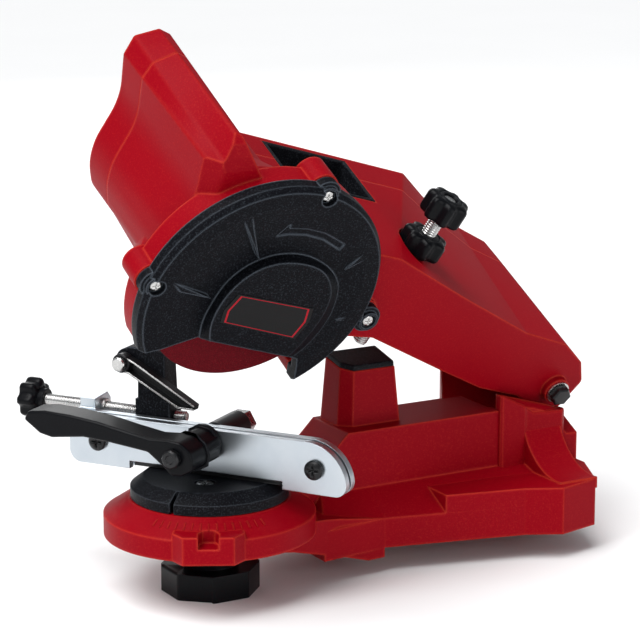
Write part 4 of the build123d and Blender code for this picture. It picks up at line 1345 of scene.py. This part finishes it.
@dataclass
class Studio:
    """Pale floor, soft light and the camera."""

    eye: Triple = (-0.5600, -1.1102, 0.4112)
    view: Triple = (0.477, 0.850, -0.225)
    lens: float = 146.25
    sensor: float = 36.0
    floor_size: float = 14.0
    sky: Triple = (0.94, 0.97, 1.0)
    sky_strength: float = 0.30
    panel_power: float = 2.6
    panel_spread: float = math.radians(40)
    panel_aim: Triple = (0.35, 0.10, -1.0)
    lamp_aim: Triple = (0.08, 0.0, 0.12)
    lamps: tuple[Lamp, ...] = (
        Lamp("key", (-1.1, -0.3, 1.0), 0.7, 9.0),
        Lamp("front", (0.5, -1.6, 0.35), 0.9, 7.0),
        Lamp("rear", (0.3, 1.5, 0.8), 0.9, 6.0),
    )

    def build(self, lowest: float) -> None:
        """Set up the studio.

        Args:
            lowest: Height of the floor, in metres.
        """
        self.floor(lowest)
        self.lights()
        self.camera()

    def floor(self, lowest: float) -> None:
        """Lay the pale floor.

        Args:
            lowest: Its height, in metres.
        """
        half = self.floor_size / 2
        mesh = bpy.data.meshes.new("floor")
        corners = [(x, y, lowest) for x, y in ((-half, -half), (half, -half), (half, half), (-half, half))]
        mesh.from_pydata(corners, [], [(0, 1, 2, 3)])
        recipe = Recipe("floor_paper")
        cloud = recipe.noise(4.0, 2.0)
        normal, _ = recipe.edges(0.1)
        colour = recipe.mix(cloud, (0.90, 0.90, 0.90), (0.93, 0.93, 0.93))
        mesh.materials.append(recipe.finish(colour, cloud * 0.05 + 0.85, cloud, 0.001, normal))
        stand("floor", mesh)

    def lights(self) -> None:
        """Hang the soft lamps and set the pale surroundings."""
        world = bpy.data.worlds.new("studio")
        world.use_nodes = True
        sky = world.node_tree.nodes["Background"]
        sky.inputs[0].default_value = (*self.sky, 1.0)
        sky.inputs[1].default_value = self.sky_strength
        bpy.context.scene.world = world
        sun = bpy.data.lights.new("sky_panel", "SUN")
        sun.energy = self.panel_power
        sun.angle = self.panel_spread
        stand("sky_panel", sun).rotation_euler = self.turn(Vector(self.panel_aim))
        for lamp in self.lamps:
            light = bpy.data.lights.new(lamp.name, "AREA")
            light.size = lamp.size
            light.energy = lamp.power
            holder = stand(lamp.name, light)
            holder.location = lamp.place
            holder.rotation_euler = self.turn(Vector(self.lamp_aim) - Vector(lamp.place))

    def camera(self) -> None:
        """Set up the camera."""
        data = bpy.data.cameras.new("camera")
        data.lens = self.lens
        data.sensor_width = self.sensor
        data.clip_start = 0.01
        camera = stand("camera", data)
        camera.location = self.eye
        camera.rotation_euler = self.turn(Vector(self.view))
        bpy.context.scene.camera = camera
        bpy.context.scene.view_settings.view_transform = "Standard"

    @staticmethod
    def turn(way: Vector) -> Euler:
        """Turn of a lamp or camera that looks a given way."""
        return way.to_track_quat("-Z", "Y").to_euler()


def main() -> None:
    """Build the sub-assemblies in order, report their pieces, and set up the studio."""
    logging.basicConfig(level=logging.INFO, format="%(name)s: %(message)s")
    shop = Shop()
    for kind in (Base, Turntable, Jaws, ChainStop, Arm, Guard, GrindingHead, DepthStop):
        part = kind(shop)
        part.build()
        for piece in part.made:
            LOG.info("%s: %s", kind.__name__, piece)
    Studio().build(CAD_BOX[0][2] - FLOOR_GAP)


if __name__ == "__main__":
    main()
